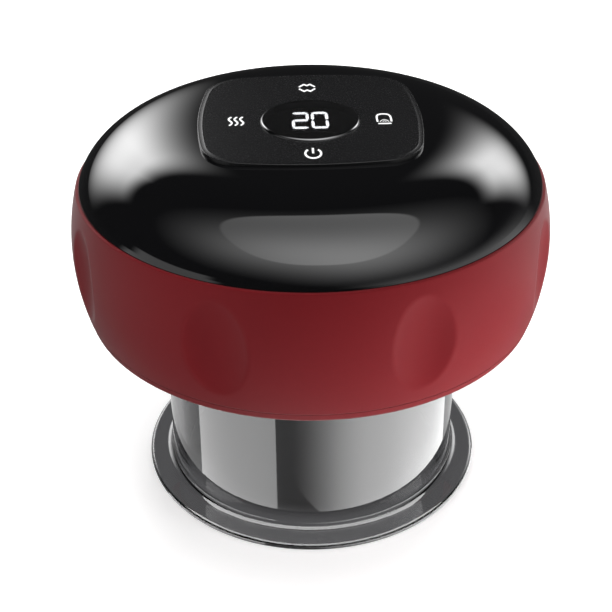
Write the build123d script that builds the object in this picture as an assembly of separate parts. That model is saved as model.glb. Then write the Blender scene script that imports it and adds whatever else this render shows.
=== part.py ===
from build123d import *
import math
import os

# A cordless heated suction massager. Lengths are millimetres and angles are degrees.
# The rim of the suction cup rests on z = 0, and the icons on the panel read from -Y.

# Fits and cuts
overrun = 1.0
soft_gap = 0.3
slip_gap = 0.3
running_fit = 0.05
slide_gap = 0.3

# Suction cup
rim_width = 5.0
rim_thickness = 2.0
rim_edge_round = 0.7
rim_flare = 1.6
cup_radius = 29.4
rim_radius = cup_radius + rim_width
cup_wall = 2.4
cup_shoulder_height = 37.3
cup_mouth_flare = 2.2
neck_inset = 1.4
neck_radius = cup_radius - neck_inset
neck_length = 6.4
seal_thickness = 0.7
seal_width = 1.1
seal_radius = neck_radius + seal_width

# Red body: one arc from the bottom edge through the widest ring to the lip
base_bottom = cup_shoulder_height + seal_thickness + soft_gap
body_widest_radius = 45.4
body_bottom_inset = 2.1
lip_inset = 1.8
body_height = 25.4
body_widest_rise = 12.7
body_bottom_radius = body_widest_radius - body_bottom_inset
lip_radius = body_widest_radius - lip_inset
body_widest_height = base_bottom + body_widest_rise
lip_height = base_bottom + body_height
body_wall = 3.0
bottom_edge_round = 0.8
base_band = 1.7
part_line = base_bottom + base_band

# Finger dimples
dimple_count = 8
dimple_width = 12.4
dimple_height = 19.0
dimple_depth = 1.7
dimple_centre_rise = 13.9
dimple_centre_height = base_bottom + dimple_centre_rise

# Dome
lip_width = 0.5
dome_rise = 10.4
dome_radius = lip_radius - lip_width
dome_top = lip_height + dome_rise
dome_wall = 2.2
dome_seat_depth = 2.0
dome_ring_width = 2.6
dome_flatness = 5.5
dome_roundness = 0.71
dome_steps = 14

# Control panel
panel_half_width = 20.55
panel_half_depth = 20.5
panel_bulge_depth = 2.15
panel_corner_round = 8.3
panel_stand_height = 0.5
panel_top = dome_top + panel_stand_height
panel_thickness = 1.7
panel_edge_round = 0.35
panel_centre_y = 1.2

# Display
bezel_radius = 9.25
bezel_slope_width = 0.5
bezel_lip_width = 0.15
bezel_rise = 0.35
window_thickness = 0.6
window_ledge = 0.7
display_centre_y = -0.9
digit_width = 3.15
digit_height = 7.5
digit_gap = 0.4
digit_side_stroke = 0.55
digit_level_stroke = 0.95
digit_segment_gap = 0.1
digit_thickness = 0.3
digit_depth = 0.1
module_width = 11.0
module_depth = 9.6
module_clearance = 0.4

# Icons of the panel
icon_thickness = 0.5
icon_reach_side = 13.5
icon_reach_front = 14.8
icon_reach_back = 15.0
icon_side_y = -0.6
icon_width = 3.1
icon_stroke = 0.38
icon_stretch_share = 1.55
heat_wave_stroke = 0.3
heat_wave_spacing = 1.0
heat_wave_swing = 0.42
heat_wave_height = 3.0
power_flatness_share = 0.9
cup_arch_height = 2.5
cup_arch_round = 1.0
cup_icon_gap = 0.35
power_gap_angle = 80
massage_end_share = 0.75
massage_crest_share = 0.36
massage_middle_share = 0.24
massage_crest_place_share = 0.385

# Control board and what it carries
control_board_radius = 30.0
control_board_drop = 4.2
board_thickness = 1.6
board_screw_inset = 2.5
board_screw_reach = control_board_radius - board_screw_inset
board_screw_angles = (0, 90, 180, 270)
screw_shank_radius = 1.0
screw_head_radius = 1.9
screw_head_height = 1.2
cross_slot_share = 0.6
cross_slot_width_share = 1 / 3
board_boss_radius = 2.6
board_screw_bite_depth = 2.2
touch_pad_radius = 3.2
touch_pad_bore = 1.8
icon_led_side = 1.6
icon_led_height = 0.8
buzzer_radius = 4.5
buzzer_height = 2.6
buzzer_x = 17.0
sensor_side = 5.0
sensor_height = 2.0

# Base cover
floor_thickness = 2.0
spigot_inset = 5.4
spigot_radius = body_widest_radius - spigot_inset
spigot_wall = 2.0
spigot_height = 2.7
socket_wall = 2.0
neck_end_gap = 0.5
roof_thickness = 1.6
base_screw_inset = 5.2
base_screw_reach = spigot_radius - base_screw_inset
base_screw_shank_radius = 1.1
base_screw_head_radius = 2.2
base_screw_recess_depth = 1.2
base_screw_length = 6.0
boss_radius = 3.0
boss_height = 6.5
boss_rib_width = 1.6
post_radius = 2.5
post_height = 4.2
post_inset = 5.7
post_reach = spigot_radius - post_inset
post_angle = 20

# Heater and light ring in the roof of the cup
lens_inset = 2.1
lens_width = 3.3
lens_flange_width = 1.7
lens_radius = neck_radius - lens_inset
lens_inner_radius = lens_radius - lens_width
lens_flange_radius = lens_radius + lens_flange_width
roof_bore_radius = lens_radius + slip_gap
lens_flange_thickness = 0.8
lens_drop = 0.2
lens_lip_width = 1.3
lens_lip_radius = lens_inner_radius - lens_lip_width
lens_lip_thickness = 0.6
lens_groove_wall = 0.8
lens_floor = 1.4
heater_radius = lens_inner_radius - slip_gap
heater_thickness = 1.5
heater_bore_radius = 4.2
film_inset = 0.8
film_radius = heater_radius - film_inset
film_thickness = 0.3
film_bore_radius = 7.0
led_board_radius = neck_radius
led_board_thickness = 1.0
heat_led_count = 12
heat_led_side = 1.4
heat_led_height = 0.7
sensor_bead_radius = 1.3
sensor_bead_height = 0.9
sensor_bead_reach = 13.0

# Suction port
nozzle_flange_radius = 6.5
nozzle_flange_thickness = 1.2
nozzle_spigot_radius = 3.9
nozzle_spigot_drop = 0.6
nipple_radius = 1.6
air_bore_radius = 0.9
nozzle_rise = 3.9
cap_radius = 6.6
cap_height = 2.6
cap_wall = 0.9
cap_slot_count = 6
cap_slot_width = 0.9
cap_slot_inner = 1.6
cap_slot_outer = 4.6
foam_radius = 5.3
foam_thickness = 1.0

# Chassis
chassis_inset = 7.4
chassis_radius = body_widest_radius - chassis_inset
chassis_thickness = 1.2
chassis_board_gap = 0.3
saddle_thickness = 2.0
saddle_margin = 1.0
saddle_height = 7.0
window_margin = 0.6
chassis_bore_radius = 3.4

# Battery cell
cell_radius = 9.15
cell_length = 50.0
cell_y = -15.5
cell_lift = 0.15
cell_button_radius = 3.0
cell_button_height = 0.6
cell_saddle_x = 17.0
tab_thickness = 0.3
tab_width = 7.0
tab_height = 12.0

# Vacuum pump, laid along X
pump_radius = 10.0
pump_y = 15.5
pump_lift = 0.1
pump_start = -28.0
pump_angles = (0, 120, 240)
end_cap_length = 2.0
end_cap_radius = 9.0
can_length = 24.0
can_wall = 0.8
bearing_radius = 1.9
bearing_length = 1.8
shaft_radius = 1.0
magnet_thickness = 1.8
magnet_length = 14.0
magnet_span = 140
magnet_inset = 5.0
core_radius = 6.8
core_length = 10.0
core_hub_radius = 2.3
core_arm_width = 1.6
core_shoe_thickness = 1.0
core_shoe_span = 84
winding_width = 4.0
winding_inset = 0.4
commutator_radius = 2.4
commutator_length = 3.4
eccentric_radius = 4.0
eccentric_length = 5.0
eccentric_start_gap = 0.5
pin_radius = 0.9
pin_tilt = 5
wobble_pivot_gap = 3.5
wobble_thickness = 1.4
wobble_hub_radius = 2.0
wobble_hub_length = 3.4
wobble_lobe_reach = 5.0
wobble_lobe_radius = 2.0
wobble_web_radius = 4.6
pump_body_length = 14.0
pump_body_wall = 2.0
pump_body_floor = 1.2
diaphragm_thickness = 1.0
diaphragm_cup_radius = 1.8
diaphragm_cup_height = 1.0
valve_plate_thickness = 2.5
valve_port_radius = 0.5
pump_head_length = 5.0
pump_nipple_offset = 5.5
pump_nipple_rise = 2.0
pump_nipple_length = 6.0
pump_screw_radius = 0.6
pump_screw_head_radius = 0.95
pump_screw_head_height = 0.8
pump_screw_reach = 9.0
pump_screw_count = 3
strap_thickness = 0.4
strap_width = 6.0
saddle_left_x = -23.0
saddle_right_x = -6.0

# Release valve
valve_x = -32.0
valve_width = 10.0
valve_depth = 9.0
valve_base_height = 4.6
valve_nipple_height = 2.6
valve_nipple_length = 5.4
valve_seat_drop = 0.8
valve_seat_radius = 1.4
valve_chamber_radius = 2.9
frame_height = 11.0
frame_plate = 1.0
coil_radius = 3.7
plunger_radius = 2.2
plunger_length = 6.4
plunger_seal_radius = 1.8
plunger_seal_thickness = 0.4
spring_radius = 1.5
spring_wire_radius = 0.16
spring_turns = 4

# Air line
cross_rise = 10.9
cross_side = 5.0
cross_nipple_length = 3.0
cross_top_nipple = 1.8
hose_wall = 0.6
hose_turn_radius = 5.0
hose_bend_share = 0.45
valve_hose_knee = 11.0
valve_hose_foot = 16.5

# Charging socket at the back
power_board_width = 20.0
power_board_depth = 12.0
power_board_thickness = 1.2
usb_width = 8.9
usb_height = 3.3
usb_depth = 7.3
usb_shell_thickness = 0.35
usb_corner_radius = 1.5
usb_recess_depth = 0.9
usb_tongue_width = 6.6
usb_tongue_thickness = 0.7
usb_tongue_length = 5.4
usb_slot_margin = 0.35

nodes = {}


# Shapes that repeat

def cylinder_z(radius, bottom, top, x=0, y=0):
    return Pos(x, y, (bottom + top) / 2) * Cylinder(radius, top - bottom)


def tube_z(outer, inner, bottom, top, x=0, y=0):
    bore = cylinder_z(inner, bottom - overrun, top + overrun, x, y)
    return cylinder_z(outer, bottom, top, x, y) - bore


def cylinder_x(radius, start, end, y=0, z=0):
    return Pos((start + end) / 2, y, z) * Rot(0, 90, 0) * Cylinder(radius, end - start)


def tube_x(outer, inner, start, end, y=0, z=0):
    return cylinder_x(outer, start, end, y, z) - cylinder_x(inner, start - overrun, end + overrun, y, z)


def block(x0, x1, y0, y1, z0, z1):
    return Pos((x0 + x1) / 2, (y0 + y1) / 2, (z0 + z1) / 2) * Box(x1 - x0, y1 - y0, z1 - z0)


def polar(reach, angle):
    return reach * math.cos(math.radians(angle)), reach * math.sin(math.radians(angle))


def turned(points):
    outline = Polyline([(r, 0, z) for r, z in points], close=True)
    return revolve(make_face(outline), Axis.Z)


def quarter_arc(r, z, radius):
    # The lower inner quarter of a circle about (r, z), drawn in the turned section.
    share = math.sqrt(0.5)
    return ThreePointArc((r, 0, z - radius), (r - radius * share, 0, z - radius * share), (r - radius, 0, z))


def joined(shapes):
    return Compound(children=[part for shape in shapes for part in shape.solids()])


# Suction cup and its seal

def make_cup():
    neck_top = cup_shoulder_height + neck_length
    bore = neck_radius - cup_wall
    wall_bore = cup_radius - cup_wall
    flare_top = rim_thickness + rim_flare
    mouth_radius = wall_bore + cup_mouth_flare
    outline = Polyline((mouth_radius, 0, 0), (rim_radius - rim_edge_round, 0, 0))
    outline += ThreePointArc((rim_radius - rim_edge_round, 0, 0), (rim_radius, 0, rim_thickness / 2),
                             (rim_radius - rim_edge_round, 0, rim_thickness))
    rim_end = rim_radius - rim_edge_round
    outline += Line((rim_end, 0, rim_thickness), (cup_radius + rim_flare, 0, rim_thickness))
    outline += quarter_arc(cup_radius + rim_flare, flare_top, rim_flare)
    outline += Polyline((cup_radius, 0, flare_top), (cup_radius, 0, cup_shoulder_height),
                        (neck_radius, 0, cup_shoulder_height), (neck_radius, 0, neck_top),
                        (bore, 0, neck_top), (bore, 0, cup_shoulder_height - cup_wall),
                        (wall_bore, 0, cup_shoulder_height - cup_wall - (wall_bore - bore)),
                        (wall_bore, 0, cup_mouth_flare))
    outline += quarter_arc(mouth_radius, cup_mouth_flare, cup_mouth_flare)
    return revolve(make_face(outline), Axis.Z)


nodes["cup"] = make_cup()
seal_top = cup_shoulder_height + seal_thickness
nodes["cup_seal"] = tube_z(seal_radius, neck_radius, cup_shoulder_height, seal_top)


# Red body: the full turned form is cut at the parting line

def body_form(inset):
    bottom = (body_bottom_radius - inset, 0, base_bottom)
    widest = (body_widest_radius - inset, 0, body_widest_height)
    lip = (lip_radius - inset, 0, lip_height)
    outline = ThreePointArc(bottom, widest, lip)
    outline += Polyline(lip, (0, 0, lip_height), (0, 0, base_bottom), bottom)
    return revolve(make_face(outline), Axis.Z)


def rounded_body_form():
    form = body_form(0)
    edge = form.edges().filter_by(GeomType.CIRCLE).sort_by(Axis.Z)[0]
    return fillet(edge, bottom_edge_round)


def above(height):
    wide = body_widest_radius + overrun
    return block(-wide, wide, -wide, wide, height, dome_top + overrun)


def make_dimple():
    chord = dimple_width / 2
    body_drop = body_widest_radius - math.sqrt(body_widest_radius ** 2 - chord ** 2)
    chord_depth = dimple_depth - body_drop
    waist = (chord ** 2 + chord_depth ** 2) / (2 * chord_depth)
    axis_reach = body_widest_radius - dimple_depth + waist
    half_height = dimple_height / 2
    side_fall = (body_widest_radius - lip_radius) / (lip_height - body_widest_height) ** 2 * half_height ** 2
    end_radius = waist - dimple_depth + side_fall
    outline = ThreePointArc((end_radius, 0, -half_height), (waist, 0, 0), (end_radius, 0, half_height))
    outline += Polyline((end_radius, 0, half_height), (0, 0, half_height), (0, 0, -half_height),
                        (end_radius, 0, -half_height))
    barrel = revolve(make_face(outline), Axis.Z)
    return Pos(axis_reach, 0, dimple_centre_height) * barrel


full_form = rounded_body_form()
inner_form = body_form(body_wall)
seat_height = lip_height - dome_seat_depth

socket_roof = cup_shoulder_height + neck_length + neck_end_gap
roof_top = socket_roof + roof_thickness
lens_top = roof_top + lens_flange_thickness
led_board_top = lens_top + led_board_thickness
chassis_bottom = led_board_top + chassis_board_gap
chassis_top = chassis_bottom + chassis_thickness
power_board_top = chassis_top + power_board_thickness
nozzle_top = chassis_top + nozzle_rise
cross_height = chassis_top + cross_rise
port_height = power_board_top + usb_height / 2
floor_top = base_bottom + floor_thickness
boss_angles = [45 + 90 * corner for corner in range(4)]
post_angles = [post_angle, 180 - post_angle, 180 + post_angle, 360 - post_angle]


def usb_outline(margin):
    return RectangleRounded(usb_width + 2 * margin, usb_height + 2 * margin, usb_corner_radius + margin)


def usb_prism(margin, y0, y1):
    section = Pos(0, y0, port_height) * Rot(-90, 0, 0) * usb_outline(margin)
    return extrude(section, y1 - y0)


def make_body_shell():
    shell = (full_form & above(part_line)) - inner_form
    shell -= cylinder_z(dome_radius, seat_height, lip_height + overrun)
    shell += tube_z(dome_radius, dome_radius - dome_ring_width, seat_height - dome_ring_width, seat_height)
    dimple = make_dimple()
    for place in range(dimple_count):
        shell -= Rot(0, 0, (place + 0.5) * 360 / dimple_count) * dimple
    for angle in boss_angles:
        x, y = polar(base_screw_reach, angle)
        rib_bottom = floor_top + spigot_height + slip_gap
        boss_top = floor_top + boss_height
        rib_end = body_widest_radius - body_wall
        rib = block(base_screw_reach, rib_end, -boss_rib_width / 2, boss_rib_width / 2, rib_bottom, boss_top)
        shell += cylinder_z(boss_radius, floor_top, boss_top, x, y)
        shell += Rot(0, 0, angle) * rib
    for angle in boss_angles:
        x, y = polar(base_screw_reach, angle)
        pilot_top = floor_top + boss_height - overrun
        shell -= cylinder_z(base_screw_shank_radius, floor_top - overrun, pilot_top, x, y)
    shell -= usb_prism(usb_slot_margin, body_widest_radius - 2 * body_wall, body_widest_radius + overrun)
    return shell


def make_base_cover():
    cover = full_form - above(part_line)
    bore = neck_radius + slip_gap
    rim_top = part_line
    wide = body_widest_radius + overrun
    cover -= tube_z(wide, spigot_radius, rim_top, rim_top + overrun)
    cover += tube_z(spigot_radius, spigot_radius - spigot_wall, rim_top, floor_top + spigot_height)
    cover += cylinder_z(spigot_radius, rim_top, floor_top)
    cover += cylinder_z(bore + socket_wall, floor_top, roof_top)
    cover -= cylinder_z(bore, base_bottom - overrun, socket_roof)
    cover -= cylinder_z(roof_bore_radius, socket_roof - overrun, roof_top + overrun)
    for angle in post_angles:
        x, y = polar(post_reach, angle)
        cover += cylinder_z(post_radius, floor_top, floor_top + post_height, x, y)
        cover -= cylinder_z(base_screw_shank_radius, floor_top, floor_top + post_height + overrun, x, y)
    for angle in boss_angles:
        x, y = polar(base_screw_reach, angle)
        cover -= cylinder_z(base_screw_shank_radius, base_bottom - overrun, floor_top + overrun, x, y)
        recess_top = base_bottom + base_screw_recess_depth
        cover -= cylinder_z(base_screw_head_radius, base_bottom - overrun, recess_top, x, y)
    return cover


def screw(shank, head, head_height, length):
    # The head's underside is at z = 0, and the shank points down.
    body = cylinder_z(head, 0, head_height) + cylinder_z(shank, -length, 0)
    slot_half = shank * cross_slot_width_share
    slot = block(-head * cross_slot_share, head * cross_slot_share, -slot_half, slot_half,
                 head_height / 2, head_height + overrun)
    return body - slot - Rot(0, 0, 90) * slot


nodes["body_shell"] = make_body_shell()
nodes["base_cover"] = make_base_cover()
base_screw = screw(base_screw_shank_radius, base_screw_head_radius, base_screw_recess_depth - slip_gap,
                   base_screw_length)
nodes["base_screws"] = joined(
    [Pos(*polar(base_screw_reach, angle), base_bottom + base_screw_recess_depth) * Rot(180, 0, 0) * base_screw
     for angle in boss_angles])


# Dome

def dome_curve(radius, top, bottom):
    # Nearly flat on top, then an ever tighter shoulder that ends upright at the lip.
    points = []
    for step in range(dome_steps + 1):
        turn = math.radians(90 * step / dome_steps)
        level = math.cos(turn) ** (2 * dome_roundness)
        points.append((radius * math.sin(turn) ** (2 / dome_flatness), 0, bottom + (top - bottom) * level))
    return Spline(points, tangents=[(1, 0, 0), (0, 0, -1)])


def dome_form(radius, top, bottom, foot):
    outline = dome_curve(radius, top, bottom)
    outline += Polyline((radius, 0, bottom), (radius, 0, foot), (0, 0, foot), (0, 0, top))
    return revolve(make_face(outline), Axis.Z)


def panel_face(inset):
    half_width = panel_half_width - inset
    half_depth = panel_half_depth - inset
    corner_x = half_width - panel_bulge_depth
    corner_y = half_depth - panel_bulge_depth
    outline = ThreePointArc((-corner_x, -corner_y), (0, -half_depth), (corner_x, -corner_y))
    outline += ThreePointArc((corner_x, -corner_y), (half_width, 0), (corner_x, corner_y))
    outline += ThreePointArc((corner_x, corner_y), (0, half_depth), (-corner_x, corner_y))
    outline += ThreePointArc((-corner_x, corner_y), (-half_width, 0), (-corner_x, -corner_y))
    face = make_face(outline)
    return Pos(0, panel_centre_y) * fillet(face.vertices(), panel_corner_round - inset)


panel_bottom = panel_top - panel_thickness
control_board_bottom = panel_bottom - control_board_drop
window_top = panel_top + bezel_rise
window_bottom = window_top - window_thickness
window_radius = bezel_radius - bezel_slope_width - bezel_lip_width
module_bottom = control_board_bottom + board_thickness
module_top = window_bottom - digit_thickness - digit_depth
well_radius = math.hypot(module_width / 2, module_depth / 2) + module_clearance
dome_inner_top = dome_top - dome_wall


def make_top_cover():
    cover = dome_form(dome_radius, dome_top, lip_height, seat_height)
    cover -= dome_form(dome_radius - dome_ring_width, dome_inner_top, lip_height, seat_height - overrun)
    cover -= extrude(Pos(0, 0, panel_bottom) * panel_face(0), panel_thickness + overrun)
    for angle in board_screw_angles:
        x, y = polar(board_screw_reach, angle)
        cover += cylinder_z(board_boss_radius, module_bottom, dome_inner_top - dome_wall / 2, x, y)
    for angle in board_screw_angles:
        x, y = polar(board_screw_reach, angle)
        bite_top = module_bottom + board_screw_bite_depth
        cover -= cylinder_z(screw_shank_radius, module_bottom - overrun, bite_top, x, y)
    cover -= cylinder_z(well_radius, module_bottom, dome_top + overrun, 0, display_centre_y)
    return cover


nodes["top_cover"] = make_top_cover()


# Icons, each a light inlay flush with the panel

def lifted(sketch, x, y):
    stretched = scale(sketch, by=(1, icon_stretch_share, 1))
    return extrude(Pos(x, y, panel_top - icon_thickness) * stretched, icon_thickness)


def heat_icon():
    half = heat_wave_height / 2
    waves = []
    for place in (-1, 0, 1):
        x = place * heat_wave_spacing
        crest = heat_wave_height / 4
        left = x - heat_wave_swing
        right = x + heat_wave_swing
        wave = Spline((right, half), (left, crest), (right, -crest), (left, -half))
        waves.append(trace(wave, heat_wave_stroke))
    return waves


def power_icon():
    arc_radius = (icon_width - icon_stroke) / 2
    rise = arc_radius * power_flatness_share
    arc = CenterArc((0, 0), arc_radius, 90 + power_gap_angle / 2, 360 - power_gap_angle)
    arc = scale(arc, by=(1, power_flatness_share, 1))
    bar = Line((0, rise + icon_stroke / 2), (0, 0))
    return [trace(arc, icon_stroke), trace(bar, icon_stroke)]


def cup_icon():
    half = (icon_width - icon_stroke) / 2
    top = (cup_arch_height + cup_icon_gap) / 2
    foot = top - cup_arch_height
    bend = half - cup_arch_round
    slant = cup_arch_round * (1 - math.sqrt(1 / 2))
    arch = Line((-half, foot), (-half, top - cup_arch_round))
    arch += ThreePointArc((-half, top - cup_arch_round), (-half + slant, top - slant), (-bend, top))
    arch += Line((-bend, top), (bend, top))
    arch += ThreePointArc((bend, top), (half - slant, top - slant), (half, top - cup_arch_round))
    arch += Line((half, top - cup_arch_round), (half, foot))
    level = foot - cup_icon_gap - icon_stroke / 2
    bar = Line((-half, level), (half, level))
    ripple = ThreePointArc((-half / 2, foot), (0, foot + half / 2), (half / 2, foot))
    return [trace(arch, icon_stroke), trace(bar, icon_stroke), trace(ripple, icon_stroke / 2)]


def massage_icon():
    half = icon_width / 2
    crest_x = half * massage_crest_place_share
    lines = []
    for side in (1, -1):
        low = side * icon_stroke * massage_end_share
        high = side * icon_width * massage_crest_share
        middle = side * icon_width * massage_middle_share
        wave = Polyline((-half, low), (-crest_x, high), (0, middle), (crest_x, high), (half, low))
        lines.append(trace(wave, icon_stroke))
    return lines


icon_places = {
    "icon_heat": (heat_icon(), -icon_reach_side, icon_side_y),
    "icon_cup": (cup_icon(), icon_reach_side, icon_side_y),
    "icon_power": (power_icon(), 0, -icon_reach_back),
    "icon_massage": (massage_icon(), 0, icon_reach_front),
}


def make_panel():
    panel = extrude(Pos(0, 0, panel_bottom) * panel_face(0), panel_thickness)
    top_edges = panel.edges().group_by(Axis.Z)[-1]
    panel = fillet(top_edges, panel_edge_round)
    panel -= cylinder_z(bezel_radius, panel_bottom - overrun, panel_top + overrun, 0, display_centre_y)
    return panel


panel = make_panel()
for name, (strokes, x, y) in icon_places.items():
    solids = [lifted(stroke, x, y) for stroke in strokes]
    nodes[name] = joined(solids)
    for solid in solids:
        panel -= solid
nodes["control_panel"] = panel


# Display: bezel, window, lit digits and their module

def make_bezel():
    ring = turned([(bezel_radius, panel_bottom), (bezel_radius, panel_top),
                   (bezel_radius - bezel_slope_width, window_top), (window_radius, window_top),
                   (window_radius, window_bottom), (window_radius - window_ledge, window_bottom),
                   (window_radius - window_ledge, panel_bottom)])
    return Pos(0, display_centre_y, 0) * ring


def level_bar(x, y):
    half = digit_width / 2 - digit_segment_gap
    rise = digit_level_stroke / 2
    tip = digit_side_stroke
    left = x - half
    right = x + half
    return make_face(Polyline((left, y), (left + tip, y + rise), (right - tip, y + rise), (right, y),
                              (right - tip, y - rise), (left + tip, y - rise), close=True))


def side_bar(x, y0, y1):
    side = digit_side_stroke / 2
    low = y0 + digit_segment_gap
    high = y1 - digit_segment_gap
    tip = digit_level_stroke / 2
    return make_face(Polyline((x, low), (x + side, low + tip), (x + side, high - tip), (x, high),
                              (x - side, high - tip), (x - side, low + tip), close=True))


def make_digit(x, lit):
    reach = digit_height / 2 - digit_level_stroke / 2
    side = digit_width / 2 - digit_side_stroke / 2
    bars = {
        "top": level_bar(x, reach), "middle": level_bar(x, 0), "bottom": level_bar(x, -reach),
        "upper_left": side_bar(x - side, 0, reach), "upper_right": side_bar(x + side, 0, reach),
        "lower_left": side_bar(x - side, -reach, 0), "lower_right": side_bar(x + side, -reach, 0),
    }
    place = Pos(0, display_centre_y, module_top)
    return [extrude(place * bars[name], digit_thickness) for name in lit]


digit_shift = (digit_width + digit_gap) / 2
two = make_digit(-digit_shift, ("top", "upper_right", "middle", "lower_left", "bottom"))
nought = make_digit(digit_shift, ("top", "upper_right", "upper_left", "lower_left", "lower_right", "bottom"))
nodes["display_bezel"] = make_bezel()
nodes["display_window"] = cylinder_z(window_radius, window_bottom, window_top, 0, display_centre_y)
nodes["display_digits"] = joined(two + nought)
nodes["display_module"] = block(-module_width / 2, module_width / 2, display_centre_y - module_depth / 2,
                                display_centre_y + module_depth / 2, module_bottom, module_top)


# Control board and the pieces on it

key_places = [(-icon_reach_side, icon_side_y), (icon_reach_side, icon_side_y), (0, -icon_reach_back),
              (0, icon_reach_front)]
key_ceiling = min(panel_bottom, dome_inner_top)
control_board = cylinder_z(control_board_radius, control_board_bottom, module_bottom)
for angle in board_screw_angles:
    x, y = polar(board_screw_reach, angle)
    control_board -= cylinder_z(screw_shank_radius + running_fit, control_board_bottom - overrun,
                                module_bottom + overrun, x, y)
nodes["control_board"] = control_board
pad_top = key_ceiling - soft_gap
nodes["touch_pads"] = joined([tube_z(touch_pad_radius, touch_pad_bore, module_bottom, pad_top, x, y)
                              for x, y in key_places])
led_half = icon_led_side / 2
nodes["icon_leds"] = joined([block(x - led_half, x + led_half, y - led_half, y + led_half, module_bottom,
                                   module_bottom + icon_led_height) for x, y in key_places])
nodes["buzzer"] = tube_z(buzzer_radius, screw_shank_radius, control_board_bottom - buzzer_height,
                         control_board_bottom, buzzer_x)
board_screw = screw(screw_shank_radius, screw_head_radius, screw_head_height,
                    board_thickness + board_screw_bite_depth - slip_gap)
nodes["board_screws"] = joined([Pos(*polar(board_screw_reach, angle), control_board_bottom) * Rot(180, 0, 0)
                                * board_screw for angle in board_screw_angles])


# Heater, light ring and suction port in the roof of the cup

lens_bottom = socket_roof - lens_drop
lens_lip_top = lens_bottom + lens_lip_thickness
groove_inner = lens_inner_radius + lens_groove_wall
groove_outer = lens_radius - lens_groove_wall
nodes["lens_ring"] = turned([
    (lens_lip_radius, lens_bottom), (lens_radius, lens_bottom), (lens_radius, roof_top),
    (lens_flange_radius, roof_top), (lens_flange_radius, lens_top), (groove_outer, lens_top),
    (groove_outer, lens_bottom + lens_floor), (groove_inner, lens_bottom + lens_floor),
    (groove_inner, lens_top), (lens_inner_radius, lens_top), (lens_inner_radius, lens_lip_top),
    (lens_lip_radius, lens_lip_top)])
heater_top = lens_lip_top + heater_thickness
film_top = heater_top + film_thickness
nodes["heater_plate"] = tube_z(heater_radius, heater_bore_radius, lens_lip_top, heater_top)
nodes["heater_film"] = tube_z(film_radius, film_bore_radius, heater_top, film_top)
nodes["thermal_sensor"] = cylinder_z(sensor_bead_radius, film_top, film_top + sensor_bead_height,
                                     *polar(sensor_bead_reach, post_angle))
nodes["led_board"] = tube_z(led_board_radius, lens_inner_radius, lens_top, led_board_top)
led_reach = (groove_inner + groove_outer) / 2
heat_led = block(led_reach - heat_led_side / 2, led_reach + heat_led_side / 2, -heat_led_side / 2,
                 heat_led_side / 2, lens_top - heat_led_height, lens_top)
nodes["heat_leds"] = joined([Rot(0, 0, place * 360 / heat_led_count) * heat_led
                             for place in range(heat_led_count)])

nozzle = cylinder_z(nozzle_flange_radius, heater_top, heater_top + nozzle_flange_thickness)
nozzle += cylinder_z(nozzle_spigot_radius, lens_lip_top - nozzle_spigot_drop, heater_top)
nozzle += cylinder_z(nipple_radius, heater_top, nozzle_top)
nozzle -= cylinder_z(air_bore_radius, lens_bottom - overrun, nozzle_top + overrun)
nodes["suction_nozzle"] = nozzle

cap_bottom = lens_lip_top - cap_height
cap = cylinder_z(cap_radius, cap_bottom, lens_lip_top)
cap_edge = cap.edges().filter_by(GeomType.CIRCLE).sort_by(Axis.Z)[0]
cap = fillet(cap_edge, cap_wall / 2)
cap -= cylinder_z(cap_radius - cap_wall, cap_bottom + cap_wall, lens_lip_top + overrun)
for place in range(cap_slot_count):
    slot = block(cap_slot_inner, cap_slot_outer, -cap_slot_width / 2, cap_slot_width / 2,
                 cap_bottom - overrun, cap_bottom + cap_wall + overrun)
    cap -= Rot(0, 0, place * 360 / cap_slot_count) * slot
nodes["filter_cap"] = cap
nodes["filter_foam"] = cylinder_z(foam_radius, cap_bottom + cap_wall, cap_bottom + cap_wall + foam_thickness)


# Chassis with saddles for the pump and the cell

pump_z = chassis_bottom + pump_lift + pump_radius
cell_z = chassis_bottom + cell_lift + cell_radius
can_start = pump_start + end_cap_length
can_end = can_start + can_length
pump_body_end = can_end + pump_body_length
diaphragm_end = pump_body_end + diaphragm_thickness
valve_plate_end = diaphragm_end + valve_plate_thickness
head_end = valve_plate_end + pump_head_length


def sunk_width(radius, centre):
    return math.sqrt(radius ** 2 - (centre - chassis_top) ** 2) + window_margin


def saddle(x, y, z, radius):
    half = radius + saddle_margin
    rib = block(x - saddle_thickness / 2, x + saddle_thickness / 2, y - half, y + half, chassis_bottom,
                chassis_top + saddle_height)
    return rib - cylinder_x(radius + running_fit, x - saddle_thickness, x + saddle_thickness, y, z)


def make_chassis():
    plate = cylinder_z(chassis_radius, chassis_bottom, chassis_top)
    pump_half = sunk_width(pump_radius, pump_z)
    cell_half = sunk_width(cell_radius, cell_z)
    plate -= block(pump_start - window_margin, head_end + window_margin, pump_y - pump_half,
                   pump_y + pump_half, chassis_bottom - overrun, chassis_top + overrun)
    cell_reach = cell_length / 2 + window_margin + tab_thickness + cell_button_height
    plate -= block(-cell_reach, cell_reach, cell_y - cell_half, cell_y + cell_half, chassis_bottom - overrun,
                   chassis_top + overrun)
    plate -= cylinder_z(chassis_bore_radius, chassis_bottom - overrun, chassis_top + overrun)
    for x in (saddle_left_x, saddle_right_x):
        plate += saddle(x, pump_y, pump_z, pump_radius)
    for x in (-cell_saddle_x, cell_saddle_x):
        plate += saddle(x, cell_y, cell_z, cell_radius)
    for angle in post_angles:
        x, y = polar(post_reach, angle)
        plate += cylinder_z(post_radius, floor_top + post_height, chassis_bottom, x, y)
    for angle in post_angles:
        x, y = polar(post_reach, angle)
        plate -= cylinder_z(base_screw_shank_radius, floor_top, chassis_top + overrun, x, y)
    return plate


nodes["chassis"] = make_chassis()
chassis_screw = screw(base_screw_shank_radius, base_screw_head_radius, screw_head_height,
                      chassis_top - floor_top - slip_gap)
nodes["chassis_screws"] = joined([Pos(*polar(post_reach, angle), chassis_top) * chassis_screw
                                  for angle in post_angles])


# Battery cell and its contact tabs

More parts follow.
